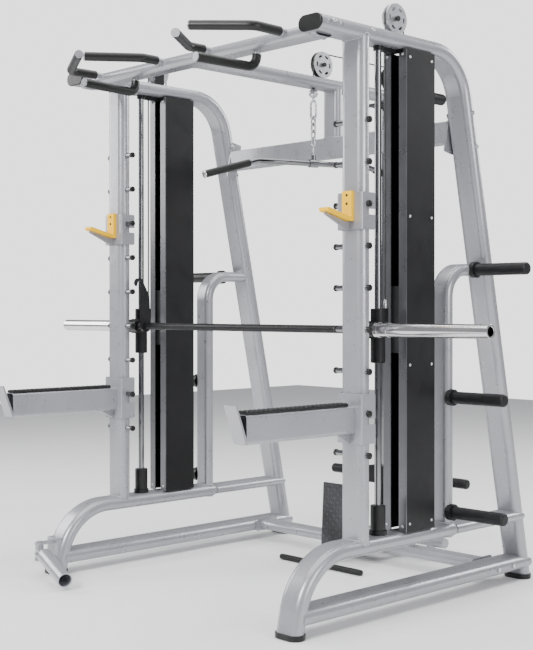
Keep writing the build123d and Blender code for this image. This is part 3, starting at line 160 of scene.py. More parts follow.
def bead(path, size):
    """A weld bead: a closed rope whose radius swells and shrinks in even ripples."""
    path = np.asarray(path, float)
    step = np.linalg.norm(np.roll(path, -1, 0) - path, axis=1)
    total = step.sum()
    s = np.concatenate([[0], np.cumsum(step)])[:-1]
    waves = max(3, round(total / (size * 1.1)))
    ripple = 1 + 0.16 * np.cos(2 * math.pi * waves * s / total)
    return rope(path, size * ripple, sides=8, closed=True)


def islands(node):
    """The points of each separate solid in a node. Points that share a face take the lowest
    label of the face, again and again, until the labels settle."""
    mesh = NODES[node].data
    mesh.calc_loop_triangles()
    co = np.empty(len(mesh.vertices) * 3)
    mesh.vertices.foreach_get("co", co)
    co = co.reshape(-1, 3)
    tri = np.empty(len(mesh.loop_triangles) * 3, int)
    mesh.loop_triangles.foreach_get("vertices", tri)
    points, same = np.unique(np.round(co, 5), axis=0, return_inverse=True)
    tri = same.reshape(-1)[tri].reshape(-1, 3)
    label = np.arange(len(points))
    while True:
        lowest = label[tri].min(1)
        new = label.copy()
        np.minimum.at(new, tri.reshape(-1), np.repeat(lowest, 3))
        new = new[new]
        if (new == label).all():
            break
        label = new
    return [points[label == k] for k in np.unique(label)]


def bar_line(points):
    """The two ends and the radius of a straight bar from its points: its axis is the
    direction in which they spread the most."""
    middle = (points.min(0) + points.max(0)) / 2
    axis = np.linalg.svd(points - points.mean(0), full_matrices=False)[2][0]
    middle = points.mean(0)
    along = (points - middle) @ axis
    off = points - middle - np.outer(along, axis)
    centre = (off.min(0) + off.max(0)) / 2
    radius = np.linalg.norm(off - centre, axis=1).max()
    start = middle + centre + axis * along.min()
    end = middle + centre + axis * along.max()
    return start, end, radius


# ------------------------------------------------------------------ pieces
def piece(name, shapes, body, material, sharp=40):
    """Joins shapes into one object that rides on a body, with its faces pointing outwards."""
    verts = np.vstack([v for v, _ in shapes])
    starts = np.cumsum([0] + [len(v) for v, _ in shapes])
    faces = [tuple(i + start for i in f) for (_, fs), start in zip(shapes, starts) for f in fs]
    mesh = bpy.data.meshes.new(name)
    mesh.from_pydata(verts.tolist(), [], faces)
    mesh.validate()
    work = bmesh.new()
    work.from_mesh(mesh)
    bmesh.ops.recalc_face_normals(work, faces=work.faces)
    work.to_mesh(mesh)
    work.free()
    obj = bpy.data.objects.new(name, mesh)
    bpy.context.scene.collection.objects.link(obj)
    mesh.shade_smooth()
    mesh.set_sharp_from_angle(angle=math.radians(sharp))
    mesh.materials.append(material)
    if body:
        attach(obj, body)
    return obj


# ------------------------------------------------------------------ finishes
def finish_base(name):
    """An empty finish with its shader and the object's own coordinates."""
    material = bpy.data.materials.get(name) or bpy.data.materials.new(name)
    material.use_nodes = True
    tree = material.node_tree
    tree.nodes.clear()
    out = tree.nodes.new("ShaderNodeOutputMaterial")
    bsdf = tree.nodes.new("ShaderNodeBsdfPrincipled")
    tree.links.new(bsdf.outputs["BSDF"], out.inputs["Surface"])
    coord = tree.nodes.new("ShaderNodeTexCoord")
    return material, tree, bsdf, coord.outputs["Object"]


def noise(tree, where, scale, detail=3.0, stretch=None):
    """A noise pattern on the object, stretched along an axis where asked."""
    if stretch:
        mapping = tree.nodes.new("ShaderNodeMapping")
        mapping.inputs["Scale"].default_value = stretch
        tree.links.new(where, mapping.inputs["Vector"])
        where = mapping.outputs["Vector"]
    tex = tree.nodes.new("ShaderNodeTexNoise")
    tex.inputs["Scale"].default_value = scale
    tex.inputs["Detail"].default_value = detail
    tree.links.new(where, tex.inputs["Vector"])
    return tex.outputs["Fac"]


def between(tree, fac, low, high, source=(0.3, 0.7)):
    """A number that runs from low to high as the pattern runs over its source range."""
    node = tree.nodes.new("ShaderNodeMapRange")
    node.inputs["From Min"].default_value = source[0]
    node.inputs["From Max"].default_value = source[1]
    node.inputs["To Min"].default_value = low
    node.inputs["To Max"].default_value = high
    tree.links.new(fac, node.inputs["Value"])
    return node.outputs["Result"]


def tint(tree, fac, dark, light, source=(0.35, 0.65)):
    """A colour between two, driven by a pattern."""
    mix = tree.nodes.new("ShaderNodeMix")
    mix.data_type = "RGBA"
    tree.links.new(between(tree, fac, 0, 1, source), mix.inputs["Factor"])
    mix.inputs["A"].default_value = (*dark, 1)
    mix.inputs["B"].default_value = (*light, 1)
    return mix.outputs["Result"]


def lift(tree, bsdf, fac, strength, depth, before=None):
    """Raises the surface by a pattern; patterns can stand on one another."""
    bump = tree.nodes.new("ShaderNodeBump")
    bump.inputs["Strength"].default_value = strength
    bump.inputs["Distance"].default_value = depth
    tree.links.new(fac, bump.inputs["Height"])
    if before:
        tree.links.new(before, bump.inputs["Normal"])
    tree.links.new(bump.outputs["Normal"], bsdf.inputs["Normal"])
    return bump.outputs["Normal"]


def coated(name, colour, rough, metal=0.0, coat=0.0, grain=900.0, bump=0.15, depth=0.0002,
           drift=0.10, flake=0.0, shine=0.5):
    """Paint, powder coat, rubber or moulded plastic: colour and gloss drift in soft patches,
    and fine grain lifts the surface. Metallic paint also has bright flakes."""
    material, tree, bsdf, where = finish_base(name)
    colour = np.asarray(colour[:3], float)
    dark = tuple(colour * (1 - drift))
    light = tuple(np.minimum(colour * (1 + drift), 1))
    base = tint(tree, noise(tree, where, 5, 4), dark, light)
    if flake:
        cells = tree.nodes.new("ShaderNodeTexVoronoi")
        cells.inputs["Scale"].default_value = 1400
        tree.links.new(where, cells.inputs["Vector"])
        spark = tree.nodes.new("ShaderNodeMix")
        spark.data_type = "RGBA"
        spark.blend_type = "ADD"
        tree.links.new(between(tree, cells.outputs["Distance"], flake, 0, (0.0, 0.25)),
                       spark.inputs["Factor"])
        tree.links.new(base, spark.inputs["A"])
        spark.inputs["B"].default_value = (0.5, 0.5, 0.5, 1)
        base = spark.outputs["Result"]
    tree.links.new(base, bsdf.inputs["Base Color"])
    tree.links.new(between(tree, noise(tree, where, 18, 5), rough * 0.85, rough * 1.18),
                   bsdf.inputs["Roughness"])
    bsdf.inputs["Metallic"].default_value = metal
    bsdf.inputs["Coat Weight"].default_value = coat
    bsdf.inputs["Coat Roughness"].default_value = 0.12
    bsdf.inputs["Specular IOR Level"].default_value = shine
    lift(tree, bsdf, noise(tree, where, grain, 2), bump, depth)
    return material


def bright(name, colour, rough, streak=(1, 1, 1), scale=60.0, drift=0.06, bump=0.05):
    """Bare or plated metal: faint wipe marks, stretched one way, change its gloss and tone."""
    material, tree, bsdf, where = finish_base(name)
    colour = np.asarray(colour[:3], float)
    marks = noise(tree, where, scale, 6, streak)
    tree.links.new(tint(tree, noise(tree, where, 7, 4), tuple(colour * (1 - drift)),
                        tuple(np.minimum(colour * (1 + drift), 1))), bsdf.inputs["Base Color"])
    tree.links.new(between(tree, marks, rough * 0.7, rough * 1.5), bsdf.inputs["Roughness"])
    bsdf.inputs["Metallic"].default_value = 1.0
    lift(tree, bsdf, marks, bump, 0.0001)
    return material


def turned(name, colour, centre, face):
    """A black nylon wheel with turned metal faces. The distance from the wheel's middle plane
    decides which shows: metal past the face distance, nylon inside it. Fine rings run about
    the axis along X."""
    material, tree, bsdf, where = finish_base(name)
    mapping = tree.nodes.new("ShaderNodeMapping")
    mapping.inputs["Location"].default_value = tuple(-np.asarray(centre))
    tree.links.new(where, mapping.inputs["Vector"])
    wave = tree.nodes.new("ShaderNodeTexWave")
    wave.wave_type = "RINGS"
    wave.rings_direction = "X"
    wave.inputs["Scale"].default_value = 160
    wave.inputs["Distortion"].default_value = 0.6
    tree.links.new(mapping.outputs["Vector"], wave.inputs["Vector"])
    split = tree.nodes.new("ShaderNodeSeparateXYZ")
    tree.links.new(mapping.outputs["Vector"], split.inputs["Vector"])
    away = tree.nodes.new("ShaderNodeMath")
    away.operation = "ABSOLUTE"
    tree.links.new(split.outputs["X"], away.inputs[0])
    metal = between(tree, away.outputs["Value"], 0, 1, (face - 0.0002, face))
    colour = np.asarray(colour[:3], float)
    mix = tree.nodes.new("ShaderNodeMix")
    mix.data_type = "RGBA"
    tree.links.new(metal, mix.inputs["Factor"])
    mix.inputs["A"].default_value = (0.012, 0.012, 0.012, 1)
    tree.links.new(tint(tree, noise(tree, where, 30, 4), tuple(colour * 0.88), tuple(colour)),
                   mix.inputs["B"])
    tree.links.new(mix.outputs["Result"], bsdf.inputs["Base Color"])
    tree.links.new(metal, bsdf.inputs["Metallic"])
    tree.links.new(between(tree, wave.outputs["Fac"], 0.28, 0.44, (0, 1)),
                   bsdf.inputs["Roughness"])
    lift(tree, bsdf, wave.outputs["Fac"], 0.12, 0.0001)
    return material


# ------------------------------------------------------------------ settings
FRAME_HALF = 0.715      # middle of the machine to the middle of a side frame
TUBE_HALF = 0.028       # half the thickness of the main tubes
TOP_TUBE_Z = 2.116      # centre line of the top tubes
LEG_LEAN = 11.7         # lean of the rear legs, in degrees


class SmithColours(bpy.types.PropertyGroup):
    paint: bpy.props.FloatVectorProperty(
        name="Frame paint", description="Metallic powder coat on the tubes", subtype="COLOR",
        size=3, min=0, max=1, default=(0.36, 0.36, 0.39))
    black: bpy.props.FloatVectorProperty(
        name="Black coat", description="Powder coat on towers, hooks and pegs",
        subtype="COLOR", size=3, min=0, max=1, default=(0.008, 0.008, 0.009))
    rubber: bpy.props.FloatVectorProperty(
        name="Rubber", description="Grips, feet and arm covers", subtype="COLOR", size=3,
        min=0, max=1, default=(0.007, 0.007, 0.007))
    yellow: bpy.props.FloatVectorProperty(
        name="Cradle pads", description="Plastic pads in the bar cradles", subtype="COLOR",
        size=3, min=0, max=1, default=(1.0, 0.56, 0.0))
    floor: bpy.props.FloatVectorProperty(
        name="Floor", description="Studio floor", subtype="COLOR", size=3, min=0, max=1,
        default=(0.92, 0.92, 0.92))


class SmithSizes(bpy.types.PropertyGroup):
    weld: bpy.props.FloatProperty(
        name="Weld bead", description="Radius of the weld beads", default=0.0032, min=0.001,
        max=0.01, subtype="DISTANCE", unit="LENGTH")
    grip_rib: bpy.props.FloatProperty(
        name="Grip rib", description="Height of the ribs on the hand grips", default=0.0009,
        min=0, max=0.003, subtype="DISTANCE", unit="LENGTH")
    grip_pitch: bpy.props.FloatProperty(
        name="Grip rib spacing", description="Distance from rib to rib", default=0.007,
        min=0.003, max=0.03, subtype="DISTANCE", unit="LENGTH")
    tread: bpy.props.FloatProperty(
        name="Tread height", description="Height of the diamonds on the arm covers",
        default=0.0022, min=0, max=0.004, subtype="DISTANCE", unit="LENGTH")
    screw: bpy.props.FloatProperty(
        name="Screw head", description="Radius of the round screw heads", default=0.0055,
        min=0.002, max=0.012, subtype="DISTANCE", unit="LENGTH")
    cable: bpy.props.FloatProperty(
        name="Cable", description="Radius of the coated cable", default=0.003, min=0.001,
        max=0.006, subtype="DISTANCE", unit="LENGTH")


def colours():
    return bpy.context.scene.smith_colours


def sizes():
    return bpy.context.scene.smith_sizes


def black_coat():
    return bpy.data.materials["textured_black"]


def rubber():
    return bpy.data.materials["moulded_rubber"]


# ------------------------------------------------------------------ operators
class SMITH_OT_finishes(bpy.types.Operator):
    """Gives every solid of the machine its finish"""
    bl_idname = "smith.finishes"
    bl_label = "Finishes"

    def execute(self, context):
        c = colours()
        paint = coated("silver_paint", c.paint, 0.30, metal=0.45, coat=0.30, grain=260,
                       bump=0.02, depth=0.0001, drift=0.03, flake=0.03)
        handle = coated("handle_paint", c.paint, 0.32, metal=0.5, coat=0.25, grain=300,
                        bump=0.02, drift=0.04, flake=0.03)
        # The shroud strips have the frame's silver paint; this copy darkens it to 0.42 as a painted
        # dark reflection of the surroundings, not a colour of their own.
        strip_dark_reflection = coated("strip_paint", np.array(c.paint) * 0.42, 0.30, metal=0.75, coat=0.2,
                       grain=300, bump=0.02, drift=0.04, flake=0.02)
        black = coated("textured_black", c.black, 0.40, grain=700, bump=0.2, depth=0.0002,
                       drift=0.2, shine=0.32)
        tower = coated("tower_black", np.array(c.black) * 0.8, 0.44, grain=500, bump=0.3,
                       depth=0.0003, drift=0.2, shine=0.3)
        soft = coated("moulded_rubber", c.rubber, 0.40, grain=500, bump=0.15, depth=0.0002,
                      drift=0.25, shine=0.4)
        plastic = coated("cap_plastic", c.rubber, 0.34, grain=400, bump=0.1, drift=0.15,
                         shine=0.4)
        pad = coated("cradle_plastic", c.yellow, 0.46, coat=0.0, grain=350, bump=0.12,
                     drift=0.05, shine=0.2)
        jacket = coated("cable_jacket", c.rubber, 0.3, coat=0.3, grain=900, bump=0.1, drift=0.1)
        block = coated("block_paint", (0.05, 0.05, 0.055), 0.55, grain=300, bump=0.3,
                       drift=0.2)
        chrome = bright("hard_chrome", (0.25, 0.25, 0.26), 0.10, (1, 1, 0.08), 90, bump=0.01)
        sleeve = bright("bar_chrome", (0.70, 0.69, 0.69), 0.13, (0.06, 1, 1), 120, bump=0.03)
        zinc = bright("bright_zinc", (0.62, 0.63, 0.65), 0.26, (1, 1, 1), 160, drift=0.12,
                      bump=0.1)
        plate = bright("tread_steel", (0.085, 0.085, 0.09), 0.38, (1, 1, 1), 60, drift=0.2,
                       bump=0.2)
        for name, material in {
                "frame_paint": paint, "strip_paint": strip_dark_reflection, "handle_paint": handle,
                "black_powder_coat": black, "black_rubber": soft, "black_plastic": plastic,
                "chrome": chrome, "bright_bolts": zinc, "zinc": zinc, "cable_jacket": jacket,
                "tread_plate": plate, "counterweight_steel": block,
                "pulley_aluminium": zinc, "yellow_pad": pad}.items():
            for part in frame["record"]["subparts"]:
                slot = part.get("material_slot") or part.get("slot")
                if slot == name:
                    self.give(part["node"], material)
        self.give("counterweight_shrouds", tower)
        self.give("bar_sleeves", sleeve)
        for node in NODES:
            if "pulley" in node and "bracket" not in node:
                low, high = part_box(node)
                centre = (np.asarray(low) + np.asarray(high)) / 2
                self.give(node, turned(node + "_turned", (0.62, 0.63, 0.66), centre, 0.0102))
        return {"FINISHED"}

    def give(self, node, material):
        mesh = NODES[node].data
        mesh.materials.clear()
        mesh.materials.append(material)


class SMITH_OT_grips(bpy.types.Operator):
    """Rounded grips and end plugs on the lat bar, a ribbed floor bar and its eye"""
    bl_idname = "smith.grips"
    bl_label = "Grips"

    def grip(self, start, end, radius, rib):
        """Radius along the grip: full, plus a raised cosine rib each pitch, rolled down by a
        quarter circle over the last few millimetres at both ends."""
        pitch = sizes().grip_pitch
        start, end = np.asarray(start), np.asarray(end)
        length = np.linalg.norm(end - start)
        t = np.linspace(0, length, int(length / pitch * 8))
        edge = np.clip(np.minimum(t, length - t) / 0.005, 0, 1)
        roll = np.sqrt(1 - (1 - edge) ** 2)
        wave = rib * (0.5 + 0.5 * np.cos(2 * math.pi * t / pitch)) ** 2
        wave = wave * (np.minimum(t, length - t) > 0.012)
        r = (radius - rib) * (0.8 + 0.2 * roll) + wave
        return lathe(np.stack([t, r], -1), start, end - start, sides=28)

    def execute(self, context):
        rib = sizes().grip_rib
        grips, plugs = [], []
        middle = (np.asarray(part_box("lat_bar")[0]) + np.asarray(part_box("lat_bar")[1])) / 2
        for points in islands("lat_grips"):
            start, end, radius = bar_line(points)
            if np.linalg.norm(start - middle) > np.linalg.norm(end - middle):
                start, end = end, start
            way = unit(end - start)
            grips.append(self.grip(start, end - way * 0.009, radius, 0.0))
            plug = [(0, radius * 0.80), (0, radius * 0.97), (0.0060, radius * 0.97),
                    (0.0082, radius * 0.88), (0.0088, radius * 0.70)]
            plugs.append(lathe(plug, end - way * 0.0088, way))
        obj = piece("lat_grip_sleeves", grips, "lat_handle", rubber())
        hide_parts("lat_grips")
        piece("lat_grip_plugs", plugs, "lat_handle",
              bpy.data.materials["bar_chrome"])
        low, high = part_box("low_bar")
        r = (high[2] - low[2]) / 2
        y = low[1] + r
        obj = piece("low_bar_ribbed", [self.grip((low[0], y, r), (high[0], y, r), r, rib)],
                    "low_handle", rubber())
        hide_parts("low_bar")
        turn = np.linspace(0, 2 * math.pi, 24, endpoint=False)
        eye = np.stack([0 * turn, y + r + 0.006 + 0.010 * np.cos(turn),
                        r + 0.010 * np.sin(turn)], -1)
        piece("low_bar_eye", [rope(eye, 0.0026, closed=True)], "low_handle",
              bpy.data.materials["bright_zinc"])
        return {"FINISHED"}


class SMITH_OT_arm_covers(bpy.types.Operator):
    """Rubber covers with raised diamonds on the spotter arms"""
    bl_idname = "smith.arm_covers"
    bl_label = "Arm covers"

    def cover(self, low, high):
        """A rounded rectangle round the cover's cross section, carried along its length.
        The top is raised by the product of two sloping waves, cut off flat, as diamonds."""
        s = sizes()
        low, high = np.asarray(low), np.asarray(high)
        size = high - low
        turn = np.linspace(0, 2 * math.pi, 120, endpoint=False)
        half = size[[0, 2]] / 2
        power = 0.28
        x = half[0] * np.sign(np.cos(turn)) * np.abs(np.cos(turn)) ** power
        z = (half[1] - s.tread / 2) * np.sign(np.sin(turn)) * np.abs(np.sin(turn)) ** power
        y = np.linspace(0, size[1], 420)
        edge = np.clip(np.minimum(y, size[1] - y) / 0.004, 0.05, 1)
        shrink = 1 - 0.06 * (1 - np.sqrt(1 - (1 - edge) ** 2))
        gx = x[None, :] * shrink[:, None]
        gz = z[None, :] * (1 - 0.5 * (1 - shrink[:, None]))
        pitch = 0.021
        a = (gx + y[:, None]) * math.pi / pitch
        b = (gx - y[:, None]) * math.pi / pitch
        diamond = np.clip(np.abs(np.sin(a)) * np.abs(np.sin(b)) * 2.6, 0, 1)
        top = (gz > half[1] * 0.72) & (np.abs(gx) < half[0] * 0.93)
        gz = gz + np.where(top, diamond * s.tread, 0) - s.tread / 2
        middle = (low + high) / 2
        rings = np.stack([middle[0] + gx, low[1] + y[:, None] + 0 * gx, middle[2] + gz], -1)
        return skin(rings)

    def execute(self, context):
        for side in ("right", "left"):
            node = "spotter_pad_" + side
            obj = piece(node + "_tread", [self.cover(*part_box(node))], "spotter_" + side,
                        rubber())
            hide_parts(node)
        return {"FINISHED"}


class SMITH_OT_pin_caps(bpy.types.Operator):
    """Black caps on both ends of every catch pin"""
    bl_idname = "smith.pin_caps"
    bl_label = "Pin caps"

    def execute(self, context):
        shapes = []
        for points in islands("catch_pins"):
            low, high = points.min(0), points.max(0)
            middle = (low + high) / 2
            for x, way in ((low[0], -1.0), (high[0], 1.0)):
                profile = [(-0.007, 0.0104), (-0.007, 0.0118), (0.0008, 0.0120),
                           (0.0020, 0.0112), (0.0026, 0.0090), (0.0028, 0.0040)]
                shapes.append(lathe(profile, (x, middle[1], middle[2]), (way, 0, 0)))
        piece("catch_pin_caps", shapes, "frame",
              bpy.data.materials["cap_plastic"])
        return {"FINISHED"}


class SMITH_OT_welds(bpy.types.Operator):
    """Rippled weld beads where the tubes meet"""
    bl_idname = "smith.welds"
    bl_label = "Welds"

    def execute(self, context):
        size = sizes().weld
        shapes = []
        low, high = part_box("uprights")
        half = FRAME_HALF
        mid_y = (low[1] + high[1]) / 2
        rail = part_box("front_arches")[1][2] - TUBE_HALF
        top = TOP_TUBE_Z
        a, b = oval(0.110, 0.056, 260)
        drop = np.sqrt(np.maximum(0.028 ** 2 - np.maximum(np.abs(a) - 0.028, 0) ** 2, 0))
        for side in (-1, 1):
            shapes.append(bead(np.stack([side * half + a, mid_y + b, rail + drop], -1), size))
            shapes.append(bead(np.stack([side * half + a, mid_y + b, top - drop], -1), size))
        # pull-up beam into the top tubes
        low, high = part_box("pullup_beam")
        cy, cz = (low[1] + high[1]) / 2, (low[2] + high[2]) / 2
        a, b = oval(0.092, 0.046, 220)
        away = 0.028 + np.sqrt(np.maximum(0.028 ** 2 - (cz + b - top) ** 2, 0))
        for side in (-1, 1):
            shapes.append(bead(np.stack([side * (half - away), cy + a, cz + b], -1), size))
        # centre tube into the beam
        mlow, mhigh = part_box("mid_tube")
        mz = (mlow[2] + mhigh[2]) / 2
        back = np.sqrt(np.maximum(0.023 ** 2 - b ** 2, 0)) + 0.023
        shapes.append(bead(np.stack([a, cy + back, mz + b], -1), size))
        # centre post under the centre tube and on the upper beam
        plow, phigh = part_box("centre_post")
        py = (plow[1] + phigh[1]) / 2
        a, b = oval(0.090, 0.046, 220)
        under = np.sqrt(np.maximum(0.023 ** 2 - np.maximum(np.abs(a) - 0.023, 0) ** 2, 0))
        shapes.append(bead(np.stack([a, py + b, mz - under], -1), size))
        shapes.append(bead(np.stack([a, py + b, plow[2] + 0 * a], -1), size))
        # storage posts on the low rails
        low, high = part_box("storage_posts")
        a, b = oval(0.092, 0.046, 220)
        sy = low[1] + 0.023
        for side in (-1, 1):
            shapes.append(bead(np.stack([side * half + a, sy + b, rail + 0.0275 + 0 * a], -1),
                               size))
        piece("weld_beads", shapes, "frame",
              bpy.data.materials["silver_paint"], sharp=80)
        return {"FINISHED"}


class SMITH_OT_screws(bpy.types.Operator):
    """Round screws on the towers, cradles and brackets, and nuts on the beam plates"""
    bl_idname = "smith.screws"
    bl_label = "Screws"

    def dome(self, place, axis, r):
        """A low dome with a round socket: the profile rises to the crown and turns in."""
        profile = [(-0.001, r), (0.0004, r), (0.0016, r * 0.9), (0.0026, r * 0.66),
                   (0.0029, r * 0.46), (0.0014, r * 0.40), (0.0012, r * 0.05)]
        return lathe(profile, place, axis, sides=20)

    def hexagon(self, place, axis, r, tall=0.006):
        profile = [(-0.001, r * 1.45), (0.0010, r * 1.5), (0.0018, r * 1.4), (0.0018, r),
                   (tall, r), (tall + 0.0012, r * 0.88), (tall + 0.0014, r * 0.2)]
        return lathe(profile, place, axis, sides=36, flats=6)

    def execute(self, context):
        r = sizes().screw
        zinc = bpy.data.materials["bright_zinc"]
        shapes = []
        low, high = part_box("counterweight_shrouds")
        slow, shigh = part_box("shroud_strips")
        for side in (-1, 1):
            for z in (low[2] + 0.03, low[2] + 0.62, high[2] - 0.62, high[2] - 0.03):
                for y in (low[1] + 0.018, high[1] - 0.018):
                    shapes.append(self.dome((side * high[0], y, z), (side, 0, 0), r))
            for z in (slow[2] + 0.02, shigh[2] - 0.02):
                for x in (shigh[0] - 0.018, shigh[0] - 0.094):
                    shapes.append(self.dome((side * x, slow[1], z), (0, -1, 0), r))
        plow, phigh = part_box("pullup_beam")
        mid_beam = (plow[1] + phigh[1]) / 2
        blow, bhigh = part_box("upper_rear_beam")
        z0 = (blow[2] + bhigh[2]) / 2
        y0 = (blow[1] + bhigh[1]) / 2
        for side in (-1, 1):
            for dz in (-0.065, 0.065):
                place = (side * (bhigh[0] - 0.006),
                         y0 - dz * math.tan(math.radians(LEG_LEAN)), z0 + dz)
                shapes.append(self.hexagon(place, (-side, 0, 0), 0.009))
        tilt = math.radians(22)
        for side in (-1, 1):
            for y in (mid_beam, mid_beam + 0.200):
                place = (side * (FRAME_HALF + 0.028 + TUBE_HALF * math.cos(tilt)), y,
                         TOP_TUBE_Z + TUBE_HALF * math.sin(tilt))
                shapes.append(self.dome(place, (side * math.cos(tilt), 0, math.sin(tilt)),
                                        r * 1.35))
        piece("machine_screws", shapes, "frame", zinc)
        for side in ("right", "left"):
            plow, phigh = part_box("jhook_pad_" + side)
            x = (plow[0] + phigh[0]) / 2
            face = phigh[1] - 0.014
            pads = [self.dome((x, face, phigh[2] - dz), (0, -1, 0), r * 0.9)
                    for dz in (0.016, 0.046)]
            lean = math.atan2(0.030, 0.118)
            for t in (0.025, 0.085):
                pads.append(self.dome((x, face - t, plow[2] + 0.0145 + t * 0.030 / 0.118 + 0.0005),
                                      (0, math.sin(lean), math.cos(lean)), r * 0.9))
            piece("cradle_screws_" + side, pads, "jhook_" + side,
                  black_coat())
        return {"FINISHED"}


class SMITH_OT_tread_plate(bpy.types.Operator):
    """Raised lozenges on the foot plate"""
    bl_idname = "smith.tread_plate"
    bl_label = "Tread plate"

    def execute(self, context):
        low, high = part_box("foot_plate")
        tilt = math.radians(3)
        rise = np.array([0, math.sin(tilt), math.cos(tilt)])
        out = np.array([0, -math.cos(tilt), math.sin(tilt)])
        corner = np.array([0, low[1], low[2]])
        cols, rows = 13, 15
        pitch_x = (high[0] - low[0] - 0.022) / (cols - 1)
        pitch_z = (high[2] - low[2] - 0.022) / (rows - 1)
        turn = np.linspace(0, 2 * math.pi, 16, endpoint=False)
        shell = np.linspace(1, 0.12, 5)
        shapes = []
        for i in range(cols):
            for j in range(rows):
                slope = math.radians(45 if (i + j) % 2 else -45)
                u = shell[:, None] * np.cos(turn) * 0.0092
                v = shell[:, None] * np.sin(turn) * 0.0030
                h = 0.0016 * np.sqrt(np.maximum(1 - shell ** 2, 0))[:, None] + 0 * u - 0.0001
                a = u * math.cos(slope) - v * math.sin(slope) + low[0] + 0.011 + i * pitch_x
                b = u * math.sin(slope) + v * math.cos(slope) + 0.011 + j * pitch_z
                rings = (corner + a[..., None] * np.array([1.0, 0, 0]) + b[..., None] * rise
                         + h[..., None] * out)
                shapes.append(skin(rings))
        piece("tread_lozenges", shapes, "frame",
              bpy.data.materials["tread_steel"], sharp=70)
        return {"FINISHED"}


class SMITH_OT_cables(bpy.types.Operator):
    """Coated cable runs in place of the cable parts, a curved lead to the low bar, and crimped
    ferrules on the bar carriage
    """
    bl_idname = "smith.cables"
    bl_label = "Cables"

    def run(self, name, top, bottom, body, node):
        """A straight round cable in many short spans."""
        t = np.linspace(0, 1, 40)[:, None]
        path = np.asarray(top) * (1 - t) + np.asarray(bottom) * t
        obj = piece(name, [rope(path, sizes().cable, sides=14)], None,
                    bpy.data.materials["cable_jacket"])
        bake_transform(obj)
        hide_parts(node)

    def execute(self, context):
        for node, body, tag in (("bar_cables", "bar_carriage", "bar_cable"),
                                ("counterweight_cables", "counterweights", "weight_cable"),
                                ("carriage_cables", "plate_carriage", "carriage_cable"),
                                ("lat_cable_front", "lat_line", "lat_cable")):
            for k, points in enumerate(islands(node)):
                low, high = points.min(0), points.max(0)
                middle = (low + high) / 2
                self.run(f"{tag}_{k}", (middle[0], middle[1], high[2]),
                         (middle[0], middle[1], low[2]), body, node)
        low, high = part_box("low_bar_cable")
        t = np.linspace(0, 1, 50)
        ease = np.clip(t / 0.82, 0, 1)
        y = low[1] + (high[1] - low[1]) * t
        z = low[2] + 0.003 + (high[2] - low[2] - 0.006) * np.sin(ease * math.pi / 2) ** 1.1
        path = np.stack([0 * t, y, z], -1)
        obj = piece("low_cable_lead", [rope(path, sizes().cable, sides=14)], None,
                    bpy.data.materials["cable_jacket"])
        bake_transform(obj)
        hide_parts("low_bar_cable")
        # crimped steel ferrules where each cable meets its carriage
        shapes = []
        profile = [(0, 0.0042), (0.001, 0.0055), (0.030, 0.0055), (0.034, 0.0036)]
        for points in islands("bar_cables"):
            low, high = points.min(0), points.max(0)
            middle = (low + high) / 2
            shapes.append(lathe(profile, (middle[0], middle[1], low[2]), (0, 0, 1)))
        piece("bar_cable_ferrules", shapes, "bar_carriage",
              bpy.data.materials["bright_zinc"])
        return {"FINISHED"}


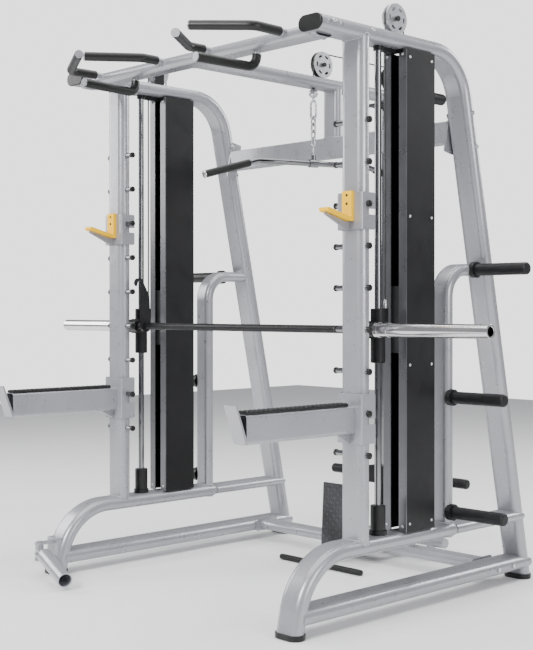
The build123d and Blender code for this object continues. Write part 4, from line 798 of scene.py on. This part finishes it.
class SMITH_OT_stage(bpy.types.Operator):
    """Pale floor, soft lights and the camera"""
    bl_idname = "smith.stage"
    bl_label = "Stage"

    def execute(self, context):
        scene = context.scene
        u = np.linspace(-9, 9, 3)
        grid = np.stack(np.meshgrid(u, u, indexing="ij"), -1).reshape(-1, 2)
        verts = np.column_stack([grid, np.zeros(len(grid))])
        index = np.arange(9).reshape(3, 3)
        faces = np.stack([index[:-1, :-1], index[1:, :-1], index[1:, 1:], index[:-1, 1:]],
                         -1).reshape(-1, 4)
        mesh = bpy.data.meshes.new("studio_floor")
        mesh.from_pydata(verts.tolist(), [], faces.tolist())
        floor = bpy.data.objects.new("studio_floor", mesh)
        scene.collection.objects.link(floor)
        mesh.materials.append(coated("studio_white", colours().floor, 0.6, grain=60,
                                     bump=0.02, drift=0.01))
        world = bpy.data.worlds.get("studio") or bpy.data.worlds.new("studio")
        world.use_nodes = True
        tree = world.node_tree
        tree.nodes.clear()
        out = tree.nodes.new("ShaderNodeOutputWorld")
        mix = tree.nodes.new("ShaderNodeMixShader")
        ray = tree.nodes.new("ShaderNodeLightPath")
        glow = tree.nodes.new("ShaderNodeBackground")
        glow.inputs["Color"].default_value = (0.95, 0.96, 1.0, 1)
        glow.inputs["Strength"].default_value = 0.42
        backdrop = tree.nodes.new("ShaderNodeBackground")
        backdrop.inputs["Color"].default_value = (1, 1, 1, 1)
        backdrop.inputs["Strength"].default_value = 2.2
        tree.links.new(ray.outputs["Is Camera Ray"], mix.inputs[0])
        tree.links.new(glow.outputs[0], mix.inputs[1])
        tree.links.new(backdrop.outputs[0], mix.inputs[2])
        tree.links.new(mix.outputs[0], out.inputs["Surface"])
        scene.world = world
        for name, place, aim, size, power in (
                ("key", (0.6, -6.0, 4.4), (0, 0, 1.2), 2.6, 430),
                ("side", (5.5, -0.5, 2.2), (0, 0, 1.0), 2.2, 110),
                ("left", (-5.0, -2.0, 3.0), (0, 0, 1.0), 2.6, 150),
                ("rim", (1.5, 5.0, 3.6), (0, 0, 1.2), 2.5, 170),
                ("top", (0, 0, 5.6), (0, 0, 0), 6.0, 380)):
            light = bpy.data.lights.new(name, "AREA")
            light.size = size
            light.energy = power
            lamp = bpy.data.objects.new(name, light)
            way = np.asarray(aim, float) - np.asarray(place, float)
            flat = math.hypot(way[0], way[1])
            lamp.location = place
            lamp.rotation_euler = (math.atan2(flat, -way[2]), 0,
                                   math.atan2(way[1], way[0]) - math.pi / 2)
            scene.collection.objects.link(lamp)
        lens = bpy.data.cameras.new("view")
        lens.lens = 66.06
        lens.sensor_width = 36
        lens.shift_x = -0.0676
        lens.shift_y = -0.0136
        lens.clip_end = 60
        camera = bpy.data.objects.new("view", lens)
        camera.location = (3.632, -3.404, 1.123)
        camera.rotation_euler = (math.radians(90 - 0.33), 0, math.radians(44.92))
        scene.collection.objects.link(camera)
        scene.camera = camera
        return {"FINISHED"}


class SMITH_PT_panel(bpy.types.Panel):
    """Lists the settings and the steps"""
    bl_idname = "SMITH_PT_panel"
    bl_label = "Smith machine"
    bl_space_type = "VIEW_3D"
    bl_region_type = "UI"
    bl_category = "Smith machine"

    def draw(self, context):
        for group in (context.scene.smith_colours, context.scene.smith_sizes):
            for key in group.__annotations__:
                self.layout.prop(group, key)
        for step in STEPS:
            self.layout.operator(step.bl_idname)


STEPS = (SMITH_OT_stage, SMITH_OT_finishes, SMITH_OT_cables, SMITH_OT_grips,
         SMITH_OT_arm_covers, SMITH_OT_pin_caps, SMITH_OT_welds, SMITH_OT_screws,
         SMITH_OT_tread_plate)
CLASSES = (SmithColours, SmithSizes, *STEPS, SMITH_PT_panel)


def register():
    for cls in CLASSES:
        bpy.utils.register_class(cls)
    bpy.types.Scene.smith_colours = bpy.props.PointerProperty(type=SmithColours)
    bpy.types.Scene.smith_sizes = bpy.props.PointerProperty(type=SmithSizes)


def unregister():
    del bpy.types.Scene.smith_sizes
    del bpy.types.Scene.smith_colours
    for cls in reversed(CLASSES):
        bpy.utils.unregister_class(cls)


def main():
    register()
    bpy.ops.smith.stage()
    bpy.ops.smith.finishes()
    bpy.ops.smith.cables()
    bpy.ops.smith.grips()
    bpy.ops.smith.arm_covers()
    bpy.ops.smith.pin_caps()
    bpy.ops.smith.welds()
    bpy.ops.smith.screws()
    bpy.ops.smith.tread_plate()


if __name__ == "__main__":
    main()
